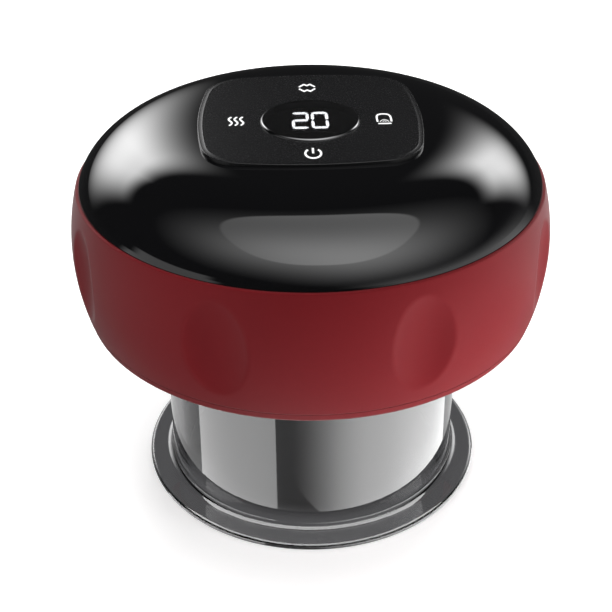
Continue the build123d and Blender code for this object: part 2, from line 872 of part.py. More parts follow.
cell = cylinder_x(cell_radius, -cell_length / 2, cell_length / 2, cell_y, cell_z)
cell += cylinder_x(cell_button_radius, cell_length / 2, cell_length / 2 + cell_button_height, cell_y, cell_z)
nodes["battery_cell"] = cell
tab_places = (-cell_length / 2 - tab_thickness, cell_length / 2 + cell_button_height)
nodes["battery_tabs"] = joined([block(x, x + tab_thickness, cell_y - tab_width / 2, cell_y + tab_width / 2,
                                      cell_z - tab_height / 2, cell_z + tab_height / 2) for x in tab_places])


# Vacuum pump: motor

def on_pump(shape):
    return Pos(0, pump_y, pump_z) * shape


def pump_rod(radius, start, end):
    return cylinder_x(radius, start, end, pump_y, pump_z)


def pump_tube(outer, inner, start, end):
    return tube_x(outer, inner, start, end, pump_y, pump_z)


def sector(inner, outer, start, end, middle, span):
    # A slice of a tube about the pump's axis, its middle turned from +Z.
    steps = (middle - span / 2, middle, middle + span / 2)
    near = [(inner * math.sin(math.radians(a)), inner * math.cos(math.radians(a))) for a in steps]
    far = [(outer * math.sin(math.radians(a)), outer * math.cos(math.radians(a))) for a in steps]
    outline = ThreePointArc(near[0], near[1], near[2]) + Line(near[2], far[2])
    outline += ThreePointArc(far[2], far[1], far[0]) + Line(far[0], near[0])
    slice_face = Plane.YZ.offset(start) * make_face(outline)
    return on_pump(extrude(slice_face, end - start))


can = pump_rod(pump_radius, can_start, can_end)
can -= pump_rod(pump_radius - can_wall, can_start - overrun, can_end - can_wall)
can -= pump_rod(bearing_radius, can_end - can_wall - overrun, can_end + overrun)
nodes["motor_can"] = can
nodes["motor_end_cap"] = pump_tube(end_cap_radius, bearing_radius, pump_start, can_start)
bearing_bore = shaft_radius + running_fit
front_bearing = pump_tube(bearing_radius, bearing_bore, can_end - bearing_length, can_end)
rear_bearing = pump_tube(bearing_radius, bearing_bore, pump_start, pump_start + bearing_length)
nodes["motor_bearings"] = joined([front_bearing, rear_bearing])
magnet_radius = pump_radius - can_wall
magnet_start = can_start + magnet_inset
magnet_end = magnet_start + magnet_length
nodes["motor_magnets"] = joined([sector(magnet_radius - magnet_thickness, magnet_radius, magnet_start,
                                        magnet_end, middle, magnet_span) for middle in (90, 270)])

core_start = magnet_start + (magnet_length - core_length) / 2
core_end = core_start + core_length
core = pump_rod(core_hub_radius, core_start, core_end)
windings = []
for middle in pump_angles:
    arm = block(core_start, core_end, -core_arm_width / 2, core_arm_width / 2, 0,
                core_radius - core_shoe_thickness / 2)
    core += on_pump(Rot(middle, 0, 0) * arm)
    core += sector(core_radius - core_shoe_thickness, core_radius, core_start, core_end, -middle,
                   core_shoe_span)
    winding_low = core_hub_radius + winding_inset
    winding_high = core_radius - core_shoe_thickness - winding_inset * 2
    winding = block(core_start - winding_inset * 2, core_end + winding_inset * 2, -winding_width / 2,
                    winding_width / 2, winding_low, winding_high)
    winding -= block(core_start, core_end, -core_arm_width / 2, core_arm_width / 2, 0, core_radius)
    windings.append(on_pump(Rot(middle, 0, 0) * winding))
core -= pump_rod(shaft_radius, core_start - overrun, core_end + overrun)
nodes["rotor_core"] = core
# The windings' leads end on the commutator, so their copper shares one node.
commutator_start = can_start + slip_gap
commutator_end = commutator_start + commutator_length
commutator = pump_tube(commutator_radius, shaft_radius, commutator_start, commutator_end)
nodes["rotor_windings"] = joined(windings + [commutator])

eccentric_start = can_end + pump_body_floor + eccentric_start_gap
eccentric_end = eccentric_start + eccentric_length
nodes["motor_shaft"] = pump_rod(shaft_radius, pump_start + slip_gap, eccentric_end - shaft_radius)


# Vacuum pump: the eccentric's tilted pin makes the wobble plate nod, and the plate works the diaphragm

pivot_x = eccentric_end + wobble_pivot_gap


def on_pin(shape):
    # Shapes drawn about X at the origin go to the pivot and take the pin's tilt.
    return Pos(pivot_x, pump_y, pump_z) * Rot(0, pin_tilt, 0) * shape


def make_eccentric():
    pin_start = eccentric_end - pivot_x - shaft_radius
    hub = pump_rod(eccentric_radius, eccentric_start, eccentric_end)
    hub += on_pin(cylinder_x(pin_radius, pin_start, wobble_hub_length / 2))
    hub -= pump_rod(shaft_radius, eccentric_start - overrun, eccentric_end - shaft_radius)
    return hub


def make_wobble_plate():
    half = wobble_thickness / 2
    plate = cylinder_x(wobble_web_radius, -half, half)
    for angle in pump_angles:
        x, y = polar(wobble_lobe_reach, angle)
        plate += cylinder_x(wobble_lobe_radius, -half, half, y, x)
    plate += cylinder_x(wobble_hub_radius, -wobble_hub_length / 2, wobble_hub_length / 2)
    plate -= cylinder_x(pin_radius + running_fit, -wobble_hub_length, wobble_hub_length)
    return on_pin(plate)


nodes["eccentric"] = make_eccentric()
nodes["wobble_plate"] = make_wobble_plate()


# Vacuum pump: body, diaphragm, valve plate and head

pump_bore = pump_radius - pump_body_wall
pump_body = pump_rod(pump_radius, can_end, pump_body_end)
pump_body -= pump_rod(pump_bore, can_end + pump_body_floor, pump_body_end + overrun)
pump_body -= pump_rod(bearing_radius + slip_gap, can_end - overrun, can_end + pump_body_floor + overrun)
diaphragm = pump_rod(pump_radius, pump_body_end, diaphragm_end)
valve_plate = pump_rod(pump_radius, diaphragm_end, valve_plate_end)
pump_head = pump_rod(pump_radius, valve_plate_end, head_end)
for angle in pump_angles:
    x, y = polar(wobble_lobe_reach, angle)
    diaphragm += on_pump(cylinder_x(diaphragm_cup_radius, pump_body_end - diaphragm_cup_height,
                                    pump_body_end, y, x))
    for side in (-1, 1):
        port = cylinder_x(valve_port_radius, diaphragm_end - overrun, valve_plate_end + overrun,
                          y + side * diaphragm_cup_radius / 2, x)
        valve_plate -= on_pump(port)
for side in (-1, 1):
    y = side * pump_nipple_offset
    nipple_end = head_end + pump_nipple_length
    pump_head += on_pump(cylinder_x(nipple_radius, head_end, nipple_end, y, pump_nipple_rise))
    pump_head -= on_pump(cylinder_x(air_bore_radius, valve_plate_end + overrun, nipple_end + overrun, y,
                                    pump_nipple_rise))
screw_places = [polar(pump_screw_reach, place * 360 / pump_screw_count) for place in range(pump_screw_count)]
screw_start = pump_body_end - pump_body_length / 2
pump_screws = []
for x, y in screw_places:
    shank = on_pump(cylinder_x(pump_screw_radius, screw_start, head_end, y, x))
    head = on_pump(cylinder_x(pump_screw_head_radius, head_end, head_end + pump_screw_head_height, y, x))
    pump_screws.append(shank + head)
    pump_body -= shank
    diaphragm -= shank
    valve_plate -= shank
    pump_head -= shank
nodes["pump_body"] = pump_body
nodes["diaphragm"] = diaphragm
nodes["valve_plate"] = valve_plate
nodes["pump_head"] = pump_head
nodes["pump_screws"] = joined(pump_screws)

strap_middle = (saddle_left_x + saddle_right_x) / 2
strap_start = strap_middle - strap_width / 2
strap_end = strap_middle + strap_width / 2
strap_outer = pump_radius + running_fit + strap_thickness
strap = pump_rod(strap_outer, strap_start, strap_end)
strap += block(strap_start, strap_end, pump_y - strap_outer, pump_y + strap_outer, chassis_top, pump_z)
strap -= pump_rod(pump_radius + running_fit, strap_start - overrun, strap_end + overrun)
strap -= block(strap_start - overrun, strap_end + overrun, pump_y - pump_radius - running_fit,
               pump_y + pump_radius + running_fit, chassis_bottom - pump_radius, pump_z)
nodes["pump_strap"] = strap


# Release valve: lifting the plunger lets air back into the cup

valve_base_top = chassis_top + valve_base_height
seat_top = valve_base_top - valve_seat_drop
frame_bottom = valve_base_top
frame_top = frame_bottom + frame_height
seal_bottom = seat_top + soft_gap
plunger_bottom = seal_bottom + plunger_seal_thickness
plunger_top = plunger_bottom + plunger_length
spring_top = frame_top - frame_plate
coil_bore = plunger_radius + slide_gap
nipple_z = chassis_top + valve_nipple_height


def make_valve_body():
    half_width = valve_width / 2
    half_depth = valve_depth / 2
    left = valve_x - half_width
    right = valve_x + half_width
    groove_bottom = seat_top - valve_seat_drop
    base = block(left, right, -half_depth, half_depth, chassis_top, valve_base_top)
    base += cylinder_x(nipple_radius, right, right + valve_nipple_length, 0, nipple_z)
    base -= tube_z(valve_chamber_radius, valve_seat_radius, groove_bottom, valve_base_top, valve_x)
    base -= cylinder_z(valve_seat_radius, seat_top, valve_base_top + overrun, valve_x)
    base -= cylinder_x(air_bore_radius, valve_x, right + valve_nipple_length + overrun, 0, nipple_z)
    base -= cylinder_z(air_bore_radius, nipple_z, seat_top + overrun, valve_x)
    return base


def make_valve_frame():
    half_width = valve_width / 2
    half_depth = coil_radius
    left = valve_x - half_width
    right = valve_x + half_width
    frame = block(left, right, -half_depth, half_depth, frame_bottom, frame_top)
    frame -= block(left + frame_plate, right - frame_plate, -half_depth - overrun, half_depth + overrun,
                   frame_bottom + frame_plate, frame_top - frame_plate)
    frame -= cylinder_z(coil_bore, frame_bottom - overrun, frame_bottom + frame_plate + overrun, valve_x)
    return frame


def make_spring():
    height = spring_top - plunger_top - 2 * (spring_wire_radius + running_fit)
    path = Helix(height / spring_turns, height, spring_radius)
    start = path @ 0
    section = Plane(origin=start, z_dir=path % 0) * Circle(spring_wire_radius)
    coil = sweep(section, path=path)
    return Pos(valve_x, 0, plunger_top + spring_wire_radius + running_fit) * coil


nodes["valve_body"] = make_valve_body()
nodes["valve_frame"] = make_valve_frame()
nodes["valve_coil"] = tube_z(coil_radius, coil_bore, frame_bottom + frame_plate, spring_top, valve_x)
nodes["valve_plunger"] = cylinder_z(plunger_radius, plunger_bottom, plunger_top, valve_x)
nodes["plunger_seal"] = cylinder_z(plunger_seal_radius, seal_bottom, plunger_bottom, valve_x)
nodes["valve_spring"] = make_spring()


# Air line: cross connector, hoses and the pressure sensor

cross_low = cross_height - cross_side / 2
cross_high = cross_height + cross_side / 2
sensor_bottom = control_board_bottom - sensor_height
sensor_nipple_end = cross_high + cross_top_nipple + slip_gap


def make_cross():
    half = cross_side / 2
    reach = half + cross_nipple_length
    body = block(-half, half, -half, half, cross_low, cross_high)
    body += cylinder_x(nipple_radius, -reach, reach, 0, cross_height)
    body += cylinder_z(nipple_radius, cross_low - cross_nipple_length, cross_high + cross_top_nipple)
    body -= cylinder_x(air_bore_radius, -reach - overrun, reach + overrun, 0, cross_height)
    body -= cylinder_z(air_bore_radius, cross_low - cross_nipple_length - overrun,
                       cross_high + cross_top_nipple + overrun)
    return body


def hose(points, radii):
    path = FilletPolyline(points, radius=radii) if radii else Line(points[0], points[-1])
    start = Plane(origin=path @ 0, z_dir=path % 0)
    bore = nipple_radius + running_fit
    return sweep(start * Circle(bore + hose_wall), path=path) - sweep(start * Circle(bore), path=path)


def tangent_radius(first, corner, last):
    run = min((corner - first).length, (last - corner).length)
    turn = math.radians((corner - first).get_angle(last - corner))
    return run * hose_bend_share / math.tan(turn / 2)


def make_hoses():
    reach = cross_side / 2
    foot_z = heater_top + nozzle_flange_thickness
    valve_end = valve_x + valve_width / 2
    inlet_y = pump_y - pump_nipple_offset
    inlet_z = pump_z + pump_nipple_rise
    bend = head_end + pump_nipple_length + hose_turn_radius * 2
    valve_line = [Vector(-reach, 0, cross_height), Vector(-valve_hose_knee, 0, cross_height),
                  Vector(-valve_hose_foot, 0, nipple_z), Vector(valve_end, 0, nipple_z)]
    valve_radii = [tangent_radius(*valve_line[0:3]), tangent_radius(*valve_line[1:4])]
    pump_line = [Vector(reach, 0, inlet_z), Vector(bend, 0, inlet_z), Vector(bend, inlet_y, inlet_z),
                 Vector(head_end, inlet_y, inlet_z)]
    return [
        hose([Vector(0, 0, foot_z), Vector(0, 0, cross_low)], None),
        hose([Vector(0, 0, cross_high), Vector(0, 0, sensor_bottom)], None),
        hose(valve_line, valve_radii),
        hose(pump_line, inlet_y / 2 - running_fit),
    ]


nodes["cross_connector"] = make_cross()
nodes["air_hoses"] = joined(make_hoses())
sensor_half = sensor_side / 2
pressure_sensor = block(-sensor_half, sensor_half, -sensor_half, sensor_half, sensor_bottom,
                        control_board_bottom)
pressure_sensor += cylinder_z(nipple_radius, sensor_nipple_end, sensor_bottom)
pressure_sensor -= cylinder_z(air_bore_radius, sensor_nipple_end - overrun, sensor_bottom + overrun)
nodes["pressure_sensor"] = pressure_sensor


# Charging socket at the back

usb_mouth = body_widest_radius - usb_recess_depth
usb_back = usb_mouth - usb_depth
board_end = usb_mouth - usb_depth / 2
nodes["power_board"] = block(-power_board_width / 2, power_board_width / 2, board_end - power_board_depth,
                             board_end, chassis_top, power_board_top)
usb_shell_solid = usb_prism(0, usb_back, usb_mouth)
usb_shell_solid -= usb_prism(-usb_shell_thickness, usb_back + usb_shell_thickness, usb_mouth + overrun)
nodes["usb_socket"] = usb_shell_solid
tongue_start = usb_back + usb_shell_thickness
tongue_bottom = port_height - usb_tongue_thickness / 2
nodes["usb_tongue"] = block(-usb_tongue_width / 2, usb_tongue_width / 2, tongue_start,
                            tongue_start + usb_tongue_length, tongue_bottom,
                            tongue_bottom + usb_tongue_thickness)


os.makedirs("parts", exist_ok=True)
for name, shape in nodes.items():
    export_step(shape, "parts/" + name + ".step")
print(len(nodes), "nodes")
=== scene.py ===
"""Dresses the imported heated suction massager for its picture: camera, studio, finishes and finer skins."""

import math

import bmesh
import bpy
from mathutils import Matrix, Vector


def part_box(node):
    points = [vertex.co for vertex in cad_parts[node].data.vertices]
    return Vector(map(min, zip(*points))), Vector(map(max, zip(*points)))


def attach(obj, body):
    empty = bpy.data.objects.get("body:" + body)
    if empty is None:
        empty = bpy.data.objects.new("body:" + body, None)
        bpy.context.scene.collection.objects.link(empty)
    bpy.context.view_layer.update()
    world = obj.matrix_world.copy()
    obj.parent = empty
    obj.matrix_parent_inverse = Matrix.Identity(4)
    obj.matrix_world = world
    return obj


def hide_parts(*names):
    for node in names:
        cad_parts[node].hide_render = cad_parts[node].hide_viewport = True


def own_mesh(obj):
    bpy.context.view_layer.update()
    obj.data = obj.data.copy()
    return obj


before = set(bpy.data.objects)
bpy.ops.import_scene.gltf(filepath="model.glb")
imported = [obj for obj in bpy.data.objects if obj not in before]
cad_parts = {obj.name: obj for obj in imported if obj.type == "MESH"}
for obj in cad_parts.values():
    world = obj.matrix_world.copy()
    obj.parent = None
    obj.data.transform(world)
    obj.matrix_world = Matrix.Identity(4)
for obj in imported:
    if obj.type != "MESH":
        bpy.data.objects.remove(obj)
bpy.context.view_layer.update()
bpy.context.scene.view_settings.view_transform = "Standard"

MM = 0.001

# ---------------------------------------------------------------- camera
PHOTO_WIDTH = 612
FOCAL_PIXELS = 1194
SENSOR = 36.0
CAMERA_DISTANCE = 240 * MM
CAMERA_ELEVATION = math.radians(32.25)
CAMERA_TURN = math.radians(-1.8)
CAMERA_ROLL = math.radians(0.44)
CAMERA_TARGET = Vector((-0.98, 0, 34.05)) * MM


def make_camera():
    """The camera of the photograph, from its fitted target, distance, elevation, turn and roll."""
    sine, cosine = math.sin(CAMERA_ELEVATION), math.cos(CAMERA_ELEVATION)
    place = CAMERA_TARGET + CAMERA_DISTANCE * Vector((0, -cosine, sine))
    upright, level = Vector((0, sine, cosine)), Vector((1, 0, 0))
    up = math.cos(CAMERA_ROLL) * upright + math.sin(CAMERA_ROLL) * level
    right = math.cos(CAMERA_ROLL) * level - math.sin(CAMERA_ROLL) * upright
    axes = Matrix((right, up, right.cross(up))).transposed().to_4x4()
    data = bpy.data.cameras.new("photo_camera")
    data.sensor_width = SENSOR
    data.lens = FOCAL_PIXELS / PHOTO_WIDTH * SENSOR
    data.clip_start = 10 * MM
    camera = bpy.data.objects.new("photo_camera", data)
    camera.matrix_world = Matrix.Rotation(CAMERA_TURN, 4, "Z") @ Matrix.Translation(place) @ axes
    bpy.context.scene.collection.objects.link(camera)
    bpy.context.scene.camera = camera


make_camera()


# ---------------------------------------------------------------- node helpers
class Tree:
    """A node tree that is written as plain sums: all but node and feed return the output of their last node."""

    def __init__(self, owner):
        owner.use_nodes = True
        self.nodes, self.links = owner.node_tree.nodes, owner.node_tree.links
        self.nodes.clear()

    def node(self, kind, sockets=None, **settings):
        """A new node; each of its sockets gets a constant or another node's output."""
        made = self.nodes.new(kind)
        for name, value in settings.items():
            setattr(made, name, value)
        for name, value in (sockets or {}).items():
            self.feed(made.inputs[name], value)
        return made

    def feed(self, socket, value):
        if isinstance(value, bpy.types.NodeSocket):
            self.links.new(value, socket)
        else:
            socket.default_value = value

    def math(self, operation, *values):
        made = self.nodes.new("ShaderNodeMath")
        made.operation = operation
        for socket, value in zip(made.inputs, values):
            self.feed(socket, value)
        return made.outputs[0]

    def ramp(self, value, start, end, low=0.0, high=1.0):
        """low before start, high after end, and a smooth step between them; start may lie after end."""
        if start > end:
            start, end, low, high = end, start, high, low
        sockets = {"Value": value, "From Min": start, "From Max": end, "To Min": low, "To Max": high}
        return self.node("ShaderNodeMapRange", sockets, interpolation_type="SMOOTHSTEP").outputs[0]

    def product(self, *values):
        result = values[0]
        for value in values[1:]:
            result = self.math("MULTIPLY", result, value)
        return result

    def total(self, *values):
        result = values[0]
        for value in values[1:]:
            result = self.math("ADD", result, value)
        return result

    def mix(self, share, low, high):
        """low where the share is 0 and high where it is 1."""
        made = self.node("ShaderNodeMix", data_type="FLOAT")
        for place, value in ((0, share), (2, low), (3, high)):
            self.feed(made.inputs[place], value)
        return made.outputs[0]

    def noise(self, point, scale, detail=3.0, roughness=0.5):
        sockets = {"Vector": point, "Scale": scale, "Detail": detail, "Roughness": roughness}
        return self.node("ShaderNodeTexNoise", sockets).outputs["Fac"]


CLOUD_SHARE = 0.12  # of a finish's grain, for the larger noise that moves its colour
LIT_FACING = 0.8  # the upward part of a normal from which a lit face glows


def colour(red, green, blue):
    return (red, green, blue, 1.0)


def shaded(base, share):
    """The colour made brighter or darker by that share."""
    return tuple(min(1.0, channel * (1 + share)) for channel in base[:3]) + (1.0,)


def finish(name, base, roughness, metal=0.0, grain=700.0, shift=0.1, spread=0.06, relief=0.02, depth=0.05,
           **constants):
    """A moulded, metal or lacquered finish: noise moves its colour, its roughness and a fine relief."""
    material = bpy.data.materials.new(name)
    tree = Tree(material)
    point = tree.node("ShaderNodeTexCoord").outputs["Object"]
    clouds = tree.noise(point, grain * CLOUD_SHARE)
    fine = tree.noise(point, grain)
    mix = tree.node("ShaderNodeMix", data_type="RGBA")
    tree.feed(mix.inputs["Factor"], clouds)
    tree.feed(mix.inputs[6], shaded(base, -shift))
    tree.feed(mix.inputs[7], shaded(base, shift))
    rough = tree.node("ShaderNodeMapRange", {"Value": fine, "To Min": max(0.0, roughness - spread),
                                             "To Max": roughness + spread}).outputs[0]
    bump = tree.node("ShaderNodeBump", {"Height": fine, "Strength": relief, "Distance": depth * MM})
    shader = tree.node("ShaderNodeBsdfPrincipled", {"Base Color": mix.outputs[2], "Roughness": rough,
                                                    "Metallic": metal, "Normal": bump.outputs[0]})
    for key, value in constants.items():
        shader.inputs[key.replace("_", " ")].default_value = value
    tree.node("ShaderNodeOutputMaterial", {"Surface": shader.outputs[0]})
    return material


# ---------------------------------------------------------------- finishes by slot
finishes = {
    "smoked_cup": finish("smoked_cup", colour(0.13, 0.13, 0.135), 0.006, grain=300, shift=0.03, spread=0.003,
                         relief=0.001, depth=0.01, Transmission_Weight=1.0, IOR=1.49),
    "black_rubber": finish("black_rubber", colour(0.012, 0.012, 0.012), 0.6, grain=2500, relief=0.15),
    "red_soft": finish("red_soft", colour(0.13, 0.0057, 0.0084), 0.5, grain=9000, shift=0.05, spread=0.04,
                       relief=0.12, depth=0.02, Specular_IOR_Level=0.08, Sheen_Weight=0.18, Sheen_Roughness=0.45),
    "dome_black": finish("dome_black", colour(0.004, 0.004, 0.0045), 0.03, grain=400, spread=0.01,
                         relief=0.01, depth=0.01, IOR=1.5),
    "panel_black": finish("panel_black", colour(0.009, 0.009, 0.0095), 0.26, grain=6000, relief=0.05,
                          depth=0.01, Specular_IOR_Level=0.2),
    "bezel_chrome": finish("bezel_chrome", colour(0.12, 0.12, 0.122), 0.1, metal=1.0, grain=3000),
    "window_dark": finish("window_dark", colour(0.07, 0.07, 0.072), 0.0, grain=500, shift=0.05, spread=0.0,
                          relief=0.0, Transmission_Weight=1.0, IOR=1.45),
    "lit_digits": finish("lit_digits", colour(0.8, 0.85, 0.9), 0.4, Emission_Color=colour(0.96, 0.99, 1.0),
                         Emission_Strength=20.0),
    "icon_white": finish("icon_white", colour(0.8, 0.8, 0.8), 0.4, Emission_Color=colour(1, 1, 1),
                         Emission_Strength=0.4),
    "module_black": finish("module_black", colour(0.006, 0.006, 0.0065), 0.6, grain=1800),
    "board_green": finish("board_green", colour(0.01, 0.09, 0.035), 0.35, grain=1500, shift=0.25),
    "pad_brass": finish("pad_brass", colour(0.72, 0.5, 0.2), 0.3, metal=1.0, grain=2200),
    "led_white": finish("led_white", colour(0.8, 0.78, 0.6), 0.3, grain=2000),
    "led_red": finish("led_red", colour(0.6, 0.04, 0.03), 0.2, grain=2000),
    "steel": finish("steel", colour(0.5, 0.5, 0.51), 0.3, metal=1.0, grain=2500),
    "dark_iron": finish("dark_iron", colour(0.08, 0.078, 0.075), 0.5, metal=1.0, grain=1800),
    "copper": finish("copper", colour(0.75, 0.33, 0.16), 0.3, metal=1.0, grain=3500, shift=0.2),
    "frosted_lens": finish("frosted_lens", colour(0.75, 0.75, 0.76), 0.4, grain=1500,
                           Transmission_Weight=0.6, IOR=1.49),
    "heater_plate_metal": finish("heater_plate_metal", colour(0.6, 0.6, 0.6), 0.35, metal=1.0, grain=4000),
    "film_amber": finish("film_amber", colour(0.6, 0.25, 0.03), 0.3, grain=1500),
    "dark_plastic": finish("dark_plastic", colour(0.03, 0.03, 0.032), 0.5, grain=3000, relief=0.1),
    "foam_grey": finish("foam_grey", colour(0.2, 0.2, 0.2), 0.9, grain=3000, relief=0.6, depth=0.2),
    "cell_sleeve": finish("cell_sleeve", colour(0.05, 0.16, 0.4), 0.3, grain=1200),
    "pale_plastic": finish("pale_plastic", colour(0.62, 0.6, 0.56), 0.45, grain=2600),
    "sensor_case": finish("sensor_case", colour(0.3, 0.3, 0.31), 0.4, grain=2600),
    "hose_clear": finish("hose_clear", colour(0.75, 0.76, 0.74), 0.25, grain=1500, Transmission_Weight=0.5),
}


def light_upward(material):
    """Keeps a lit finish's glow to the faces that look up, so that the sides of a sign stay dark."""
    tree, links = material.node_tree.nodes, material.node_tree.links
    shader = next(node for node in tree if node.type == "BSDF_PRINCIPLED")
    facing = tree.new("ShaderNodeSeparateXYZ")
    links.new(tree.new("ShaderNodeNewGeometry").outputs["Normal"], facing.inputs[0])
    level = tree.new("ShaderNodeMapRange")
    links.new(facing.outputs["Z"], level.inputs["Value"])
    level.inputs["From Min"].default_value = LIT_FACING
    level.inputs["To Max"].default_value = shader.inputs["Emission Strength"].default_value
    links.new(level.outputs[0], shader.inputs["Emission Strength"])


light_upward(finishes["lit_digits"])
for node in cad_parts.values():
    for place in node.material_slots:
        place.material = finishes[place.material.name.split(".")[0]]


# ---------------------------------------------------------------- finer skins in place of CAD nodes
SHARP_ANGLE = math.radians(32)


def object_from(made, name):
    """A new object with the mesh that was made."""
    mesh = bpy.data.meshes.new(name)
    made.to_mesh(mesh)
    made.free()
    piece = bpy.data.objects.new(name, mesh)
    bpy.context.scene.collection.objects.link(piece)
    return piece


def loops_piece(name, loops):
    """A closed piece from loops of points: each loop is joined to the next one, and the last to the first."""
    made = bmesh.new()
    rows = [[made.verts.new(Vector(point) * MM) for point in loop] for loop in loops]
    count = len(rows[0])
    for j, row in enumerate(rows):
        above = rows[(j + 1) % len(rows)]
        for k in range(count):
            after = (k + 1) % count
            made.faces.new((row[k], row[after], above[after], above[k]))
    bmesh.ops.recalc_face_normals(made, faces=made.faces)
    return object_from(made, name)


def prism_piece(name, bottom, top):
    """A closed prism between two outlines with the same number of points."""
    made = bmesh.new()
    low, high = [[made.verts.new(Vector(point) * MM) for point in outline] for outline in (bottom, top)]
    made.faces.new(low)
    made.faces.new(high)
    for k in range(len(low)):
        after = (k + 1) % len(low)
        made.faces.new((low[k], low[after], high[after], high[k]))
    bmesh.ops.recalc_face_normals(made, faces=made.faces)
    return object_from(made, name)


def combine(piece, other, operation):
    """Joins another piece to this one or cuts it out of it, and removes the other piece."""
    step = piece.modifiers.new("combine", "BOOLEAN")
    step.object, step.operation, step.solver = other, operation, "EXACT"
    whole = bpy.data.meshes.new_from_object(piece.evaluated_get(bpy.context.evaluated_depsgraph_get()))
    piece.modifiers.clear()
    piece.data = whole
    bpy.data.objects.remove(other)


def skin(piece, slot, body, replaced):
    """Shades a finished piece, gives it its finish and puts it in the place of a CAD node."""
    made = bmesh.new()
    made.from_mesh(piece.data)
    for face in made.faces:
        face.smooth = True
    for edge in made.edges:
        edge.smooth = edge.calc_face_angle(0.0) < SHARP_ANGLE
    made.to_mesh(piece.data)
    made.free()
    piece.data.materials.clear()
    piece.data.materials.append(finishes[slot])
    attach(piece, body)
    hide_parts(replaced)


def rounded(corners, steps=6):
    """A closed outline whose corners, (r, z) or (r, z, radius), are rounded by arcs of that many steps."""
    path = []
    for k, corner in enumerate(corners):
        here = Vector(corner[:2])
        if len(corner) == 2:
            path.append(tuple(here))
            continue
        before = (Vector(corners[k - 1][:2]) - here).normalized()
        after = (Vector(corners[(k + 1) % len(corners)][:2]) - here).normalized()
        half = before.angle(after) / 2
        reach = corner[2] / math.tan(half)
        centre = here + (before + after).normalized() * corner[2] / math.sin(half)
        start = here + before * reach - centre
        end = here + after * reach - centre
        sweep = math.atan2(start.x * end.y - start.y * end.x, start.dot(end))
        for step in range(steps + 1):
            turn = sweep * step / steps
            path.append((centre.x + start.x * math.cos(turn) - start.y * math.sin(turn),
                         centre.y + start.x * math.sin(turn) + start.y * math.cos(turn)))
    return path


def arc(centre, radius, start, end, steps):
    """Points on an arc between two angles in degrees, both ends included."""
    turns = [math.radians(start + (end - start) * k / steps) for k in range(steps + 1)]
    return [(centre[0] + radius * math.cos(t), centre[1] + radius * math.sin(t)) for t in turns]


def turned_loops(path, count):
    """The loops of a closed outline of (r, z) turned about the Z axis."""
    turns = [2 * math.pi * k / count for k in range(count)]
    return [[(r * math.sin(t), -r * math.cos(t), z) for t in turns] for r, z in path]


# The suction cup: flanged rim, flared mouth, wall, shoulder and neck
CUP_STEPS = 512
FLOOR_GAP = 0.04
FLANGE_TOP, RIM_CENTRE, RIM_ROUND, RIM_UNDER, RIM_OVER = 1.6, 33.6, 0.78, 33.5, 33.4
WALL_RADIUS, WALL_TOP, WALL_EDGE, FOOT_ROUND = 29.4, 37.3, 0.1, 1.6
BORE_RADIUS, BORE_TOP, MOUTH_ROUND = 27.0, 33.5, 1.0
NECK_RADIUS, NECK_BORE, NECK_BOTTOM, NECK_TOP = 28.0, 25.6, 34.9, 43.7
WALL_LEVELS, BORE_LEVELS = (5, 8, 14, 20, 28), (28, 20, 14, 8, 4)
foot_centre, mouth_centre = WALL_RADIUS + FOOT_ROUND, BORE_RADIUS + MOUTH_ROUND
cup_outline = [(mouth_centre, FLOOR_GAP), (foot_centre, FLOOR_GAP), (RIM_UNDER, FLOOR_GAP)]
cup_outline += arc((RIM_CENTRE, FLOOR_GAP + RIM_ROUND), RIM_ROUND, -80, 80, 14)
cup_outline += [(RIM_OVER, FLANGE_TOP), (foot_centre, FLANGE_TOP)]
cup_outline += arc((foot_centre, FLANGE_TOP + FOOT_ROUND), FOOT_ROUND, 264, 180, 16)
cup_outline += [(WALL_RADIUS, z) for z in WALL_LEVELS]
cup_outline += [(WALL_RADIUS, WALL_TOP - WALL_EDGE), (WALL_RADIUS - WALL_EDGE, WALL_TOP)]
cup_outline += [(NECK_RADIUS, WALL_TOP), (NECK_RADIUS, NECK_TOP), (NECK_BORE, NECK_TOP), (NECK_BORE, NECK_BOTTOM)]
cup_outline += [(BORE_RADIUS, z) for z in (BORE_TOP, *BORE_LEVELS)]
cup_outline += arc((mouth_centre, FLOOR_GAP + MOUTH_ROUND), MOUTH_ROUND, 180, 264, 12)
skin(loops_piece("cup_clear", turned_loops(cup_outline, CUP_STEPS)), "smoked_cup", "cup", "cup")

# The control panel: sides and corners of arcs, a sloping border, a fine ridge inside it and a flat face
PANEL_HALF_WIDTH, PANEL_HALF_DEPTH, PANEL_BULGE, PANEL_CORNER = 20.55, 20.5, 2.15, 8.3
PANEL_CENTRE_Y, PANEL_BOTTOM, PANEL_TOP = 1.2, 72.9, 74.6
PANEL_HALF_SIDE_STEPS, PANEL_CORNER_STEPS = 40, 40
PANEL_FACE = PANEL_TOP - 0.02
PANEL_HOLE_RADIUS, DISPLAY_CENTRE_Y = 9.11, -0.9


